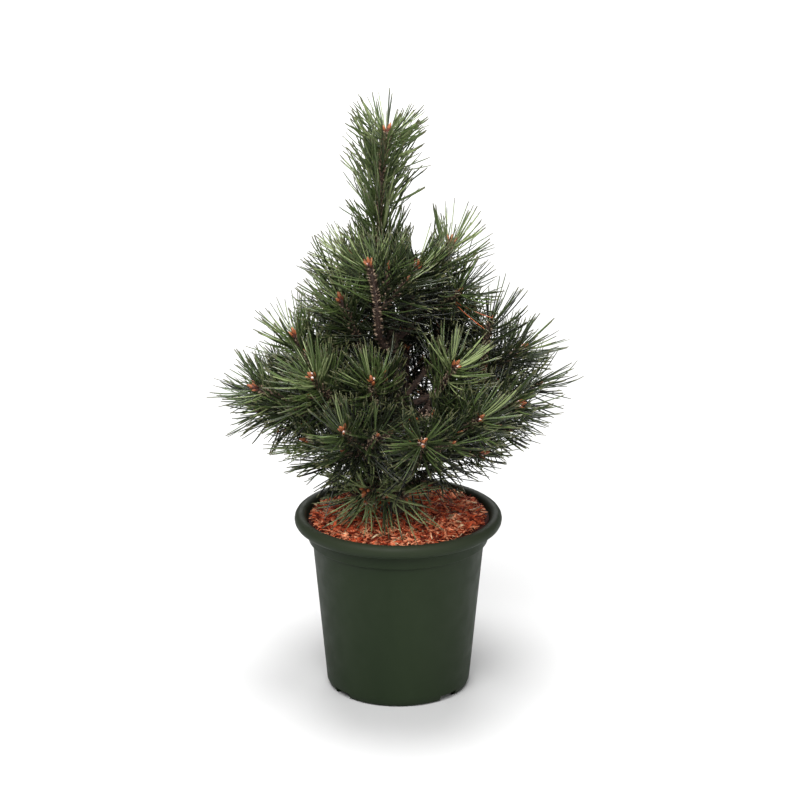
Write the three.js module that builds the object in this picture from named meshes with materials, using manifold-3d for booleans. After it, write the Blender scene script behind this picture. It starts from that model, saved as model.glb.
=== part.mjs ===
// A young mugo pine in a round nursery pot, in millimetres, +Z up.
// The origin is the middle of the pot's foot, on the surface that it stands on. -Y is the front.
//
// The pot is a thin shell with a thick rolled rim, a stepped collar and a notched foot ring. Potting soil fills it,
// and shredded bark lies on the soil. The trunk rises from the bark to the leader's tip. Boughs leave it in four tiers,
// and each carries one mass of foliage: a stem with its twigs, needles all round them, and buds at the tips.

import * as THREE from "three";
import { mergeVertices } from "three/addons/utils/BufferGeometryUtils.js";
import Module from "manifold-3d";

const wasm = await Module();
wasm.setup();

// ---------------------------------------------------------------- driving dimensions

const CLEARANCE = 0.3; // between neighbouring pieces
const FINEST = 0.1; // detail smaller than this is smoothed away where pieces are fused

const POT = {
  height: 198,
  footRadius: 73,
  footRing: 4.5, // radial width of the ring that the pot stands on
  footRecess: 3.5, // from the standing surface up to the floor's underside
  floor: 4,
  floorFillet: 4,
  wall: 2,
  cornerRadius: 78.2,
  cornerHeight: 6.5,
  cornerBend: { out: 0.62, up: 0.26 }, // shares of the way from the foot to the corner, where its curve is broken
  bodyTopRadius: 93,
  bodyTop: 166,
  collarRadius: 97.4,
  collarRise: 2, // the collar's lower edge slopes out over this height
  collarTop: 183.6,
  collarDraft: 1, // how much wider the collar is at its top
  rollAcross: 6.5, // half the rolled rim's width
  rollUp: 7.3, // half the rolled rim's height
  rimRadius: 112.5,
  segments: 36,
  notches: 4,
  notchTurn: 41.5, // degrees from the right-hand side to the first notch
  notchWidth: 24,
  notchHeight: 6.5,
  drainRadius: 5,
  drainReach: 54,
  drainSides: 12,
};

const BARK = {
  soilTop: 176,
  soilGap: 0.45, // from the pot's wall; wider than the clearance, as the facets of the two don't line up
  barkGap: 0.6,
  edge: 187, // where the bark meets the pot
  crown: 193.5, // in the middle
  level: 17, // radius of the level patch that the trunk stands on
  rings: 3,
  segments: 28,
  lump: 1.6,
  flat: 1, // the lumps begin this far from the level patch and from the underside
};

const TRUNK = {
  height: 423,
  // The lean away from the pot's axis is a cubic curve with these four controls, at even heights from foot to tip.
  right: [0, 23, -41, -11],
  back: [0, 8, 2, 0],
  footRadius: 8.6,
  tipRadius: 2.2,
  taper: 0.9, // the power of height by which it gets thinner
  flare: 4.2, // added at the foot
  flareHeight: 22,
  sides: 9,
  rings: 16,
};

const BOUGH = {
  rootRadius: 4.1,
  tipRadius: 2.9,
  sides: 5,
  rings: 3,
  rise: 24, // degrees above the level, where it leaves the trunk
  straight: 0.42, // share of the distance to the bud over which it keeps its first direction
  arrival: 0.75, // share of the needled length over which it points as the bud does
  longestArrival: 0.5, // the same at most, as a share of the distance to the bud
  shortest: 0.25, // share of the shoot that is bough, at least
};
const STEM = {
  rootRadius: 2.9,
  tipRadius: 2.3,
  sides: 4,
  rings: 3,
  needledFrom: 0.02,
  fork: 0.3, // share of its length at which a second stem forks from it
  forkNeedledFrom: 0.12, // at least
};
const TWIG = {
  from: 0.12, // share of the stem's length at which it may fork
  to: 0.6,
  open: 50, // degrees from the stem
  length: 42,
  lift: 10, // the tip's rise towards the light
  rootRadius: 2.2,
  tipRadius: 1.7,
  sides: 3,
  rings: 2,
  room: 23, // from any other twig or limb
  needledFrom: 0.15,
  tries: 8,
  tryTurn: 50, // degrees round the stem from one try to the next
};
const BUD = { length: 13, radius: 2.8, widest: 0.42, sides: 4, spread: 34, sunk: 4, small: 0.8 };
const NEEDLE = {
  length: 52,
  vary: 0.1, // share by which the length varies either way
  room: 1.8, // half a needle's width where it leaves its spray
  tested: [0.3, 0.5, 0.7, 0.85, 1], // shares of its length at which it has to be clear of everything else
};
// A spray is a toothed blade of needles side by side.
const SPRAY = {
  fan: [-33, -16, 0, 16, 33], // degrees of its needles from its middle
  joined: 0.36, // share of a needle's length over which they are one blade
  ridge: 0.16, // where the blade is thickest
  halfThick: 0.9,
  halfRoot: 1.3,
  rootOut: 0.7, // how far out of the stem's middle the root sits, as a share of the stem's radius
  openAtBase: 64, // degrees from the stem, where the sprays begin
  openAtBud: 30,
  scatter: 9, // degrees
  roll: 30, // degrees that a blade may turn about its own middle
  turn: 137.5, // degrees from one spray to the next, round the stem
  perMillimetre: 0.066,
  jitter: 40, // degrees round the stem, by chance
  tries: 3, // other turns round the stem, when the first is taken
  tryTurn: 75,
};
const LEADER = { needled: 148, sleeve: 1.5, overTip: 4, sides: 8, rings: 6, crowding: 1.6 };
const SEED = { bark: 11, leader: 7, foliage: 100, twigs: 500 };

// One shoot: its bud is `turn` degrees round the pot's axis (0 is right, 90 is back, -90 is front), `reach` from that
// axis and `height` above the ground. It points to `aimTurn`, tilted up by `aimTilt`. Its last `needled` mm bear needles.
const shoot = (turn, reach, height, aimTurn, aimTilt, needled) => ({
  turn, reach, height, aimTurn, aimTilt, needled,
});

// Each bough leaves the trunk at the height `root` and ends where its first shoot's needles begin. A second shoot
// forks from the first one's stem.
const BOUGHS = {
  low_front: { root: 216, shoots: [shoot(-113, 88, 250, -112, 6, 70), shoot(-84, 76, 240, -76, 4, 44)] },
  low_left: { root: 228, shoots: [shoot(-150, 110, 298, -160, 18, 86)] },
  low_right: { root: 222, shoots: [shoot(-34, 106, 284, -26, 4, 86)] },
  low_back: { root: 218, shoots: [shoot(84, 96, 264, 84, 12, 76)] },
  left: { root: 256, shoots: [shoot(-173, 152, 344, -176, 24, 104), shoot(-178, 150, 314, 180, 8, 62)] },
  front_left: { root: 244, shoots: [shoot(-114, 138, 332, -120, 44, 98)] },
  front_right: { root: 232, shoots: [shoot(-80, 144, 325, -86, 30, 96)] },
  right_front: { root: 262, shoots: [shoot(-54, 142, 342, -46, 42, 100)] },
  right: { root: 250, shoots: [shoot(-18, 134, 332, -14, 16, 96), shoot(5, 150, 338, 4, 14, 66)] },
  back_right: { root: 234, shoots: [shoot(46, 140, 316, 48, 18, 94), shoot(28, 138, 356, 26, 40, 66)] },
  back: { root: 262, shoots: [shoot(92, 141, 342, 94, 34, 100)] },
  back_left: { root: 240, shoots: [shoot(124, 144, 330, 126, 28, 96), shoot(150, 146, 322, 156, 16, 64)] },
  mid_left: { root: 306, shoots: [shoot(176, 111, 394, 174, 70, 96)] },
  mid_front_left: { root: 292, shoots: [shoot(-139, 118, 374, -142, 52, 94)] },
  mid_front: { root: 280, shoots: [shoot(-106, 98, 374, -98, 60, 92)] },
  mid_front_right: { root: 300, shoots: [shoot(-56, 106, 390, -40, 54, 94)] },
  mid_right: { root: 312, shoots: [shoot(13, 136, 372, 14, 34, 98), shoot(5, 99, 410, 4, 70, 68)] },
  mid_back_right: { root: 322, shoots: [shoot(48, 92, 404, 36, 58, 92)] },
  mid_back: { root: 288, shoots: [shoot(84, 100, 396, 88, 54, 92)] },
  mid_back_left: { root: 316, shoots: [shoot(134, 104, 398, 140, 50, 94)] },
  top_front: { root: 376, shoots: [shoot(-124, 54, 486, -170, 74, 104)] },
  top_right: { root: 388, shoots: [shoot(35, 68, 488, 22, 76, 104)] },
  top_left: { root: 352, shoots: [shoot(-160, 64, 442, 200, 66, 84), shoot(160, 68, 458, 166, 72, 64)] },
  top_back: { root: 392, shoots: [shoot(108, 58, 470, 106, 62, 84)] },
  top_fork: { root: 402, shoots: [shoot(-48, 30, 478, -36, 70, 76)] },
  top_inner: { root: 412, shoots: [shoot(172, 50, 480, 172, 66, 72)] },
};

const COLOUR = {
  pot: 0x2c382a,
  soil: 0x2a1d16,
  bark: 0x8a4526,
  wood: 0x4a382e,
  foliage: 0x3c5a2c,
};

// ---------------------------------------------------------------- helpers

const { clamp, degToRad: radians, lerp } = THREE.MathUtils;

// A small seeded generator, so that every build is the same.
function seeded(seed) {
  let state = seed >>> 0;
  return () => {
    state = (state + 0x6d2b79f5) >>> 0;
    let mixed = Math.imul(state ^ (state >>> 15), 1 | state);
    mixed = (mixed + Math.imul(mixed ^ (mixed >>> 7), 61 | mixed)) ^ mixed;
    return ((mixed ^ (mixed >>> 14)) >>> 0) / 4294967296;
  };
}

// The ends of `steps` even steps from one value to another.
const evenly = (steps, from, to) => Array.from({ length: steps + 1 }, (_, i) => lerp(from, to, i / steps));

function direction(turn, tilt) {
  const level = Math.cos(radians(tilt));
  return new THREE.Vector3(level * Math.cos(radians(turn)), level * Math.sin(radians(turn)), Math.sin(radians(tilt)));
}

// A geometry with only its positions, and its shared vertices merged.
function welded(geometry) {
  const bare = geometry.clone();
  bare.deleteAttribute("normal");
  bare.deleteAttribute("uv");
  return mergeVertices(bare, 1e-4);
}

function solid(geometry) {
  const merged = welded(geometry);
  const triVerts = new Uint32Array(merged.index.array);
  return new wasm.Manifold(new wasm.Mesh({ numProp: 3, vertProperties: merged.attributes.position.array, triVerts }));
}

// The main body without its loose scraps, and with its sealed hollows filled.
function mainOf(body) {
  return body.decompose().reduce((main, piece) => (piece.volume() > main.volume() ? piece : main));
}

function fused(bodies) {
  const whole = mainOf(bodies.reduce((sum, next) => sum.add(next)));
  return mainOf(whole.asOriginal().simplify(FINEST));
}

function geometryOf(body) {
  const { numProp, vertProperties, triVerts } = body.getMesh();
  const corners = Array.from(triVerts).flatMap((corner) => [0, 1, 2].map((k) => vertProperties[corner * numProp + k]));
  const geometry = new THREE.BufferGeometry();
  geometry.setAttribute("position", new THREE.Float32BufferAttribute(corners, 3));
  geometry.computeVertexNormals();
  return geometry;
}

function turned(outline, segments) {
  const points = outline.map(([radius, height]) => new THREE.Vector2(radius, height));
  return new THREE.LatheGeometry(points, segments);
}

function upright(outline, segments) {
  return turned(outline, segments).rotateX(Math.PI / 2);
}

// A geometry made along +Y, moved so that it starts at `root` and points along `aim`.
function aimed(geometry, root, aim) {
  const turn = new THREE.Quaternion().setFromUnitVectors(new THREE.Vector3(0, 1, 0), aim);
  return geometry.applyQuaternion(turn).translate(root.x, root.y, root.z);
}

// ---------------------------------------------------------------- limbs

// A limb is a row of frames along its middle, with a radius at any share of its length. A frame is a point, the way
// ahead and two cross directions, which turn as little as possible from one frame to the next.
function limbAlong(curve, shares, sides, radiusAt) {
  let side = new THREE.Vector3(1, 0, 0);
  const frames = shares.map((share) => {
    const ahead = curve.getTangent(share);
    side = side.clone().addScaledVector(ahead, -side.dot(ahead)).normalize();
    return { at: curve.getPoint(share), ahead, side, up: side.clone().cross(ahead) };
  });
  return { frames, sides, radiusAt };
}

// A plain tapering limb, from one length along its curve to another.
function limb(curve, from, to, { rootRadius, tipRadius, sides, rings }) {
  const whole = curve.getLength();
  const shares = evenly(rings, from / whole, to / whole).map((share) => curve.getUtoTmapping(share));
  const plain = limbAlong(curve, shares, sides, (share) => lerp(rootRadius, tipRadius, share));
  return { ...plain, length: to - from };
}

// The frame at any share of a limb's length.
function frameAt({ frames }, share) {
  const place = share * (frames.length - 1);
  const row = Math.min(frames.length - 2, Math.floor(place));
  const at = frames[row].at.clone().lerp(frames[row + 1].at, place - row);
  return { ...frames[Math.round(place)], at };
}

// A way out of a limb, `turn` round it.
function outward(frame, turn) {
  return frame.side.clone().multiplyScalar(Math.cos(turn)).addScaledVector(frame.up, Math.sin(turn));
}

// A way between straight ahead and straight out.
function opened(ahead, out, open) {
  return ahead.clone().multiplyScalar(Math.cos(open)).addScaledVector(out, Math.sin(open));
}

// A limb's solid is a cylinder whose rings are set along the limb.
function limbGeometry(branch, growth = 0) {
  const rings = branch.frames.length - 1;
  const geometry = welded(new THREE.CylinderGeometry(1, 1, 1, branch.sides, rings));
  const position = geometry.attributes.position;
  for (let i = 0; i < position.count; i++) {
    const share = position.getY(i) + 0.5;
    const { at, side, up } = branch.frames[Math.round(share * rings)];
    const radius = branch.radiusAt(share) + growth;
    const across = side.clone().multiplyScalar(position.getX(i) * radius);
    const point = across.addScaledVector(up, position.getZ(i) * radius).add(at);
    position.setXYZ(i, point.x, point.y, point.z);
  }
  return geometry;
}

// The distance from a point to the nearest of some limbs' middles.
function distanceTo(limbs, point) {
  const nearest = new THREE.Vector3();
  let distance = Infinity;
  for (const { frames } of limbs) {
    for (let i = 0; i + 1 < frames.length; i++) {
      new THREE.Line3(frames[i].at, frames[i + 1].at).closestPointToPoint(point, true, nearest);
      distance = Math.min(distance, nearest.distanceTo(point));
    }
  }
  return distance;
}

// ---------------------------------------------------------------- pot, soil and bark

// The radius of the pot's outer wall at a height on its straight body.
function bodyRadius(height) {
  return lerp(POT.cornerRadius, POT.bodyTopRadius, (height - POT.cornerHeight) / (POT.bodyTop - POT.cornerHeight));
}

// The inner face of the wall, which the soil and the bark follow.
function innerRadius(height) {
  if (height <= POT.bodyTop) return bodyRadius(height) - POT.wall;
  const rise = clamp((height - POT.bodyTop) / POT.collarRise, 0, 1);
  return lerp(POT.bodyTopRadius, POT.collarRadius, rise) - POT.wall;
}

// The rolled rim's section, from under its outer side over the top to its inner side.
function rollOutline() {
  return [-110, -55, -10, 35, 80, 130, 180].map((degrees) => [
    POT.rimRadius - POT.rollAcross + POT.rollAcross * Math.cos(radians(degrees)),
    POT.height - POT.rollUp + POT.rollUp * Math.sin(radians(degrees)),
  ]);
}

function potBody() {
  const ringInside = POT.footRadius - POT.footRing;
  const floorTop = POT.footRecess + POT.floor;
  const collarFoot = POT.bodyTop + POT.collarRise;
  const shell = solid(upright([
    [0, POT.footRecess],
    [ringInside, POT.footRecess],
    [ringInside, 0],
    [POT.footRadius, 0],
    [lerp(POT.footRadius, POT.cornerRadius, POT.cornerBend.out), POT.cornerHeight * POT.cornerBend.up],
    [POT.cornerRadius, POT.cornerHeight],
    [POT.bodyTopRadius, POT.bodyTop],
    [POT.collarRadius, collarFoot],
    [POT.collarRadius + POT.collarDraft, POT.collarTop],
    ...rollOutline(),
    [innerRadius(POT.collarTop), POT.collarTop],
    [innerRadius(collarFoot), collarFoot],
    [innerRadius(POT.bodyTop), POT.bodyTop],
    [innerRadius(floorTop + POT.floorFillet), floorTop + POT.floorFillet],
    [innerRadius(floorTop) - POT.floorFillet, floorTop],
    [0, floorTop],
  ], POT.segments));
  const cuts = Array.from({ length: POT.notches }, (_, i) => {
    const turn = radians(POT.notchTurn + (360 / POT.notches) * i);
    const notch = new THREE.BoxGeometry(POT.footRing * 4, POT.notchWidth, POT.notchHeight * 2);
    const drain = new THREE.CylinderGeometry(POT.drainRadius, POT.drainRadius, POT.floor * 4, POT.drainSides);
    return solid(notch.translate(POT.footRadius, 0, 0).rotateZ(turn))
      .add(solid(drain.rotateX(Math.PI / 2).translate(POT.drainReach, 0, floorTop).rotateZ(turn)));
  });
  return cuts.reduce((body, cut) => body.subtract(cut), shell);
}

function soilBody() {
  const bottom = POT.footRecess + POT.floor + CLEARANCE;
  const edge = innerRadius(POT.bodyTop) - BARK.soilGap;
  return solid(upright([
    [0, bottom],
    [innerRadius(bottom) - POT.floorFillet - BARK.soilGap, bottom],
    [innerRadius(bottom + POT.floorFillet) - BARK.soilGap, bottom + POT.floorFillet],
    [edge, POT.bodyTop],
    [edge, BARK.soilTop],
    [0, BARK.soilTop],
  ], BARK.segments));
}

// The height of the bark's surface at a distance from the pot's axis, before its lumps.
function barkHeight(distance) {
  const out = clamp((distance - BARK.level) / (innerRadius(BARK.edge) - BARK.level), 0, 1);
  return lerp(BARK.crown, BARK.edge, out * out);
}

function barkBody() {
  const random = seeded(SEED.bark);
  const rim = innerRadius(BARK.edge) - BARK.barkGap;
  const bottom = BARK.soilTop + CLEARANCE;
  const surface = evenly(BARK.rings, rim, BARK.level).map((distance) => [distance, barkHeight(distance)]);
  const geometry = welded(upright([[0, bottom], [rim, bottom], ...surface, [0, BARK.crown]], BARK.segments));
  const position = geometry.attributes.position;
  for (let i = 0; i < position.count; i++) {
    const distance = Math.hypot(position.getX(i), position.getY(i));
    const isLoose = distance > BARK.level + BARK.flat && position.getZ(i) > bottom + BARK.flat;
    if (isLoose) position.setZ(i, position.getZ(i) + (random() * 2 - 1) * BARK.lump);
  }
  return solid(geometry);
}

// ---------------------------------------------------------------- trunk and boughs

const ground = BARK.crown + CLEARANCE;

const trunkCurve = new THREE.CubicBezierCurve3(
  ...[0, 1, 2, 3].map((i) => new THREE.Vector3(TRUNK.right[i], TRUNK.back[i], ground + (TRUNK.height * i) / 3)),
);

function trunkRadius(share) {
  const flare = TRUNK.flare * Math.max(0, 1 - (share * TRUNK.height) / TRUNK.flareHeight) ** 2;
  return lerp(TRUNK.footRadius, TRUNK.tipRadius, share ** TRUNK.taper) + flare;
}

const trunk = limbAlong(trunkCurve, evenly(TRUNK.rings, 0, 1), TRUNK.sides, trunkRadius);

function trunkBody(growth = 0) {
  const geometry = limbGeometry(trunk, growth);
  const position = geometry.attributes.position;
  // The foot is cut level.
  for (let i = 0; i < position.count; i++) {
    if (position.getZ(i) < ground + TRUNK.footRadius / 2) position.setZ(i, ground - growth);
  }
  return solid(geometry);
}

// The curve of a shoot from where it starts to its bud, where it arrives along its aim.
function shootCurve(start, departure, { turn, reach, height, aimTurn, aimTilt, needled }) {
  const bud = direction(turn, 0).multiplyScalar(reach).setZ(height);
  const distance = bud.distanceTo(start);
  const arrival = Math.min(needled * BOUGH.arrival, distance * BOUGH.longestArrival);
  return new THREE.CubicBezierCurve3(
    start,
    start.clone().addScaledVector(departure, distance * BOUGH.straight),
    bud.clone().addScaledVector(direction(aimTurn, aimTilt), -arrival),
    bud,
  );
}

// A bough and the stems of the mass that it carries.
function grow([name, { root, shoots: [first, second] }]) {
  const start = trunkCurve.getPoint((root - ground) / TRUNK.height);
  const whole = shootCurve(start, direction(first.turn, BOUGH.rise), first);
  const length = whole.getLength();
  const split = Math.max(length * BOUGH.shortest, length - first.needled);
  const bough = limb(whole, 0, split - CLEARANCE / 2, BOUGH);
  const stem = limb(whole, split + CLEARANCE / 2, length, STEM);
  const stems = [{ ...stem, needledFrom: STEM.needledFrom }];
  if (second) {
    const fork = frameAt(stem, STEM.fork);
    const curve = shootCurve(fork.at, fork.ahead, second);
    const side = limb(curve, 0, curve.getLength(), STEM);
    stems.push({ ...side, needledFrom: Math.max(STEM.forkNeedledFrom, 1 - second.needled / side.length) });
  }
  return { name, bough, stems, plan: first };
}

// ---------------------------------------------------------------- foliage

const branches = Object.entries(BOUGHS).map(grow);
const boughs = branches.map(({ bough }) => bough);

function leaderStem() {
  const start = 1 - LEADER.needled / TRUNK.height;
  const radiusAt = (share) => trunkRadius(lerp(start, 1, share)) + LEADER.sleeve;
  const sleeve = limbAlong(trunkCurve, evenly(LEADER.rings, start, 1), LEADER.sides, radiusAt);
  return { ...sleeve, length: LEADER.needled, needledFrom: STEM.needledFrom, crowding: LEADER.crowding };
}

// The space of each mass of foliage is round its own stems and twigs. `limbs` are the limbs that it keeps clear of, and
// its twigs stay inside `reach` and under `top`, which its first shoot's bud sets.
const masses = branches.map(({ name, stems, plan }) => ({
  name,
  stems: [...stems],
  limbs: [trunk, ...boughs],
  reach: plan.reach,
  top: plan.height,
}));
const leaderMass = { name: "leader", stems: [leaderStem()], limbs: boughs };
const spaces = [...masses, leaderMass];

const inTheWay = (own) => spaces.filter((space) => space !== own).flatMap((space) => space.stems);

// Whether a ball is above the bark and clear of the pot's rim.
function isAbovePot(point, room) {
  const distance = Math.hypot(point.x, point.y);
  if (distance > POT.rimRadius + room || point.z > POT.height + room) return true;
  return distance < innerRadius(BARK.edge) - room && point.z > barkHeight(distance) + BARK.lump + room;
}

// Whether a ball stays in its own mass's space, clear of the limbs, the bark and the pot.
function isFree(point, room, own, others) {
  if (!isAbovePot(point, room)) return false;
  if (own.limbs.some((one) => distanceTo([one], point) < one.radiusAt(0) + room)) return false;
  return distanceTo(others, point) > distanceTo(own.stems, point) + 2 * room;
}

// One twig forks from each of a mass's stems by chance, where there is room for it.
function addTwigs(mass, random) {
  const others = [...inTheWay(mass), ...mass.limbs];
  for (const stem of [...mass.stems]) {
    const start = random() * 360;
    for (let attempt = 0; attempt < TWIG.tries; attempt++) {
      const fork = frameAt(stem, lerp(TWIG.from, TWIG.to, random()));
      const aim = opened(fork.ahead, outward(fork, radians(start + TWIG.tryTurn * attempt)), radians(TWIG.open));
      const middle = fork.at.clone().addScaledVector(aim, TWIG.length / 2);
      const tip = fork.at.clone().addScaledVector(aim, TWIG.length);
      tip.z += TWIG.lift;
      const isInside = Math.hypot(tip.x, tip.y) < mass.reach && tip.z < mass.top;
      const isApart = distanceTo(others, tip) > TWIG.room && distanceTo(others, middle) > TWIG.room / 2;
      if (isInside && isApart && distanceTo(mass.stems, tip) > TWIG.room && isAbovePot(tip, TWIG.room)) {
        const curve = new THREE.QuadraticBezierCurve3(fork.at, middle, tip);
        mass.stems.push({ ...limb(curve, 0, curve.getLength(), TWIG), needledFrom: TWIG.needledFrom });
        break;
      }
    }
  }
}

// A spray's solid is a flat double cone whose rim is drawn out into its needles. `needles` run from one side of the
// blade to the other, as vectors from `root`, and `across` is the way from the first to the last.
function sprayBody(root, across, needles) {
  const middle = needles.reduce((sum, needle) => sum.add(needle), new THREE.Vector3()).divideScalar(needles.length);
  const thickness = middle.clone().normalize().cross(across).multiplyScalar(SPRAY.halfThick);
  const rim = [across.clone().multiplyScalar(SPRAY.halfRoot), across.clone().multiplyScalar(-SPRAY.halfRoot)];
  needles.forEach((needle, i) => {
    if (i > 0) rim.push(needles[i - 1].clone().add(needle).multiplyScalar(SPRAY.joined / 2));
    rim.push(needle);
  });
  const flat = [[0, -1], [1, 0], [0, 1]];
  const geometry = welded(turned(flat, rim.length));
  const position = geometry.attributes.position;
  for (let i = 0; i < position.count; i++) {
    const point = middle.clone().multiplyScalar(SPRAY.ridge).addScaledVector(thickness, position.getY(i));
    if (Math.abs(position.getY(i)) < 0.5) {
      const turn = Math.atan2(position.getX(i), position.getZ(i)) / (2 * Math.PI);
      point.copy(rim[(Math.round(turn * rim.length) + rim.length) % rim.length]);
    }
    position.setXYZ(i, ...point.add(root));
  }
  return solid(geometry);
}

// The needles of a spray that stay in their mass's space.
function freeNeedles(root, aim, across, mass, others, random) {
  const needles = SPRAY.fan.map((degrees) => {
    const length = NEEDLE.length * (1 + (random() * 2 - 1) * NEEDLE.vary);
    return opened(aim, across, radians(degrees)).multiplyScalar(length);
  });
  return needles.filter((needle) => NEEDLE.tested.every((part) => {
    const room = NEEDLE.room * (1 - part) + CLEARANCE;
    return isFree(root.clone().addScaledVector(needle, part), room, mass, others);
  }));
}

// Sprays in a spiral round a stem, opening wide at its base and closing towards its bud.
function spraysOn(stem, mass, others, random) {
  const needled = stem.length * (1 - stem.needledFrom);
  const count = Math.round(needled * SPRAY.perMillimetre * (stem.crowding ?? 1));
  const sprays = [];
  for (let i = 0; i < count; i++) {
    const share = (i + 0.5) / count;
    const along = lerp(stem.needledFrom, 1, share);
    const frame = frameAt(stem, along);
    const scatter = (random() * 2 - 1) * SPRAY.scatter;
    const open = radians(lerp(SPRAY.openAtBase, SPRAY.openAtBud, share) + scatter);
    for (let attempt = 0; attempt < SPRAY.tries; attempt++) {
      const turn = SPRAY.turn * i + SPRAY.tryTurn * attempt + SPRAY.jitter * random();
      const out = outward(frame, radians(turn));
      const aim = opened(frame.ahead, out, open);
      const roll = radians((random() * 2 - 1) * SPRAY.roll);
      const across = frame.ahead.clone().cross(out).applyAxisAngle(aim, roll);
      const root = frame.at.clone().addScaledVector(out, stem.radiusAt(along) * SPRAY.rootOut);
      const needles = freeNeedles(root, aim, across, mass, others, random);
      if (needles.length > 0) {
        sprays.push(sprayBody(root, across, needles));
        break;
      }
    }
  }
  return sprays;
}

function budBody(root, aim, size) {
  const outline = [[0, 0], [BUD.radius, BUD.widest * BUD.length], [0, BUD.length]];
  return solid(aimed(turned(outline, BUD.sides).scale(size, size, size), root, aim));
}

// A cluster of buds on a stem's tip: one ahead and two beside it. A fork or a twig has only the one.
function budsOn(stem, isMain) {
  const { at, ahead, side } = stem.frames.at(-1);
  const root = at.clone().addScaledVector(ahead, -BUD.sunk);
  if (!isMain) return [budBody(root, ahead, BUD.small)];
  const beside = [-1, 1].map((way) => opened(ahead, side.clone().multiplyScalar(way), radians(BUD.spread)));
  return [budBody(root, ahead, 1), ...beside.map((aim) => budBody(root, aim, BUD.small))];
}

// What grows on a mass's stems and twigs: needles and buds.
function grownOn(mass, random) {
  const others = inTheWay(mass);
  return mass.stems.flatMap((stem, i) => [...budsOn(stem, i === 0), ...spraysOn(stem, mass, others, random)]);
}

function foliageBody(mass, index) {
  const stems = mass.stems.map((stem) => solid(limbGeometry(stem)));
  return fused([...stems, ...grownOn(mass, seeded(SEED.foliage + index))]);
}

// The leader's foliage stands on a sleeve of scales round the trunk's top, cut clear of it and closed over its tip.
function leaderBody() {
  const [stem] = leaderMass.stems;
  const tip = stem.frames.at(-1);
  const over = { ...tip, at: tip.at.clone().addScaledVector(tip.ahead, LEADER.overTip) };
  const sleeve = solid(limbGeometry({ ...stem, frames: [...stem.frames, over] }));
  const whole = fused([sleeve, ...grownOn(leaderMass, seeded(SEED.leader))]);
  return fused([whole.subtract(trunkBody(CLEARANCE))]);
}

// ---------------------------------------------------------------- the whole

function material(color, roughness) {
  return new THREE.MeshStandardMaterial({ color, roughness, metalness: 0 });
}

const pine = new THREE.Group();

function addNode(name, body, look) {
  const mesh = new THREE.Mesh(geometryOf(body), look);
  mesh.name = name;
  pine.add(mesh);
}

const wood = material(COLOUR.wood, 0.9);
const green = material(COLOUR.foliage, 0.6);

addNode("pot", potBody(), material(COLOUR.pot, 0.45));
addNode("soil", soilBody(), material(COLOUR.soil, 0.95));
addNode("bark_mulch", barkBody(), material(COLOUR.bark, 0.9));
addNode("trunk", trunkBody(), wood);

const trunkRoom = trunkBody(CLEARANCE);
for (const { name, bough } of branches) addNode("bough_" + name, solid(limbGeometry(bough)).subtract(trunkRoom), wood);

masses.forEach((mass, index) => addTwigs(mass, seeded(SEED.twigs + index)));
masses.forEach((mass, index) => addNode("foliage_" + mass.name, foliageBody(mass, index), green));
addNode("foliage_leader", leaderBody(), green);

export default pine;
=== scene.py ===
# %% [markdown]
# # A young mugo pine in a round nursery pot
# The real object is a small pine, sold in a dark green plastic pot whose soil is covered with shredded
# bark. A plain solid model of it is already made: pot, soil, bark, trunk, boughs, and one mass of foliage
# at the end of each bough. This lesson keeps those places and sizes, and gives every part its true surface.
# The pot is modelled by hand, because it is one smooth moulding. The plant is grown by rule, because nobody
# models thousands of needles by hand.

import math
from collections import namedtuple

import bpy
import numpy as np
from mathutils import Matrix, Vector, noise
from mathutils.kdtree import KDTree


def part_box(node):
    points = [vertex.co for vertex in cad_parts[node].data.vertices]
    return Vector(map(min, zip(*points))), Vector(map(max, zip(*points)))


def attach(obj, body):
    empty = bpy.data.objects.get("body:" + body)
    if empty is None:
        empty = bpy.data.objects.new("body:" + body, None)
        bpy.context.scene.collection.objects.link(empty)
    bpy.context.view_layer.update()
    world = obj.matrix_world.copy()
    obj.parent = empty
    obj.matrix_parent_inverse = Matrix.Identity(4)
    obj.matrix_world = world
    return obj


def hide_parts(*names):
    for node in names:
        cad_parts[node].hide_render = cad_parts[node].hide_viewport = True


MM = 0.001  # the plant is reckoned in millimetres, and Blender's meshes are in metres

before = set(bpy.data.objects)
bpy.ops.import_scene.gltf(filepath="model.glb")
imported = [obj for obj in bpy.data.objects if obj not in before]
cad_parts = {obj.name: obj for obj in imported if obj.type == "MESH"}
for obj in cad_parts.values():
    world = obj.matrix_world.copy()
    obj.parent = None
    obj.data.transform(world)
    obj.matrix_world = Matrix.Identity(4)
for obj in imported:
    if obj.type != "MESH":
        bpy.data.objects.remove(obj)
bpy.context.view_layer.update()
bpy.ops.object.select_all(action="DESELECT")

# %% [markdown]
# ## Camera
# A long lens three metres away flattens the plant as a catalogue picture does. The camera looks down a
# little, so the bark inside the rim shows as a flat oval. A camera close by with a short lens would swell
# the pot's rim.

# %% Camera
LOOK_DOWN = math.radians(18.2)
CAMERA_DISTANCE = 3.0
CAMERA_AIM = Vector((0.0019, 0, 0.3239))
SENSOR = 36
PICTURE_WIDTH = 800
FOCUS_PIXELS = 2807  # the lens's length, in pixels of a picture that wide

backwards = Vector((0, -math.cos(LOOK_DOWN), math.sin(LOOK_DOWN)))
bpy.ops.object.camera_add(
    location=CAMERA_AIM + CAMERA_DISTANCE * backwards,
    rotation=(math.pi / 2 - LOOK_DOWN, 0, 0),
)
camera = bpy.context.object
camera.data.sensor_width = SENSOR
camera.data.lens = SENSOR * FOCUS_PIXELS / PICTURE_WIDTH
bpy.context.scene.camera = camera
print("The lens is", round(camera.data.lens, 1), "mm long")

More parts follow.
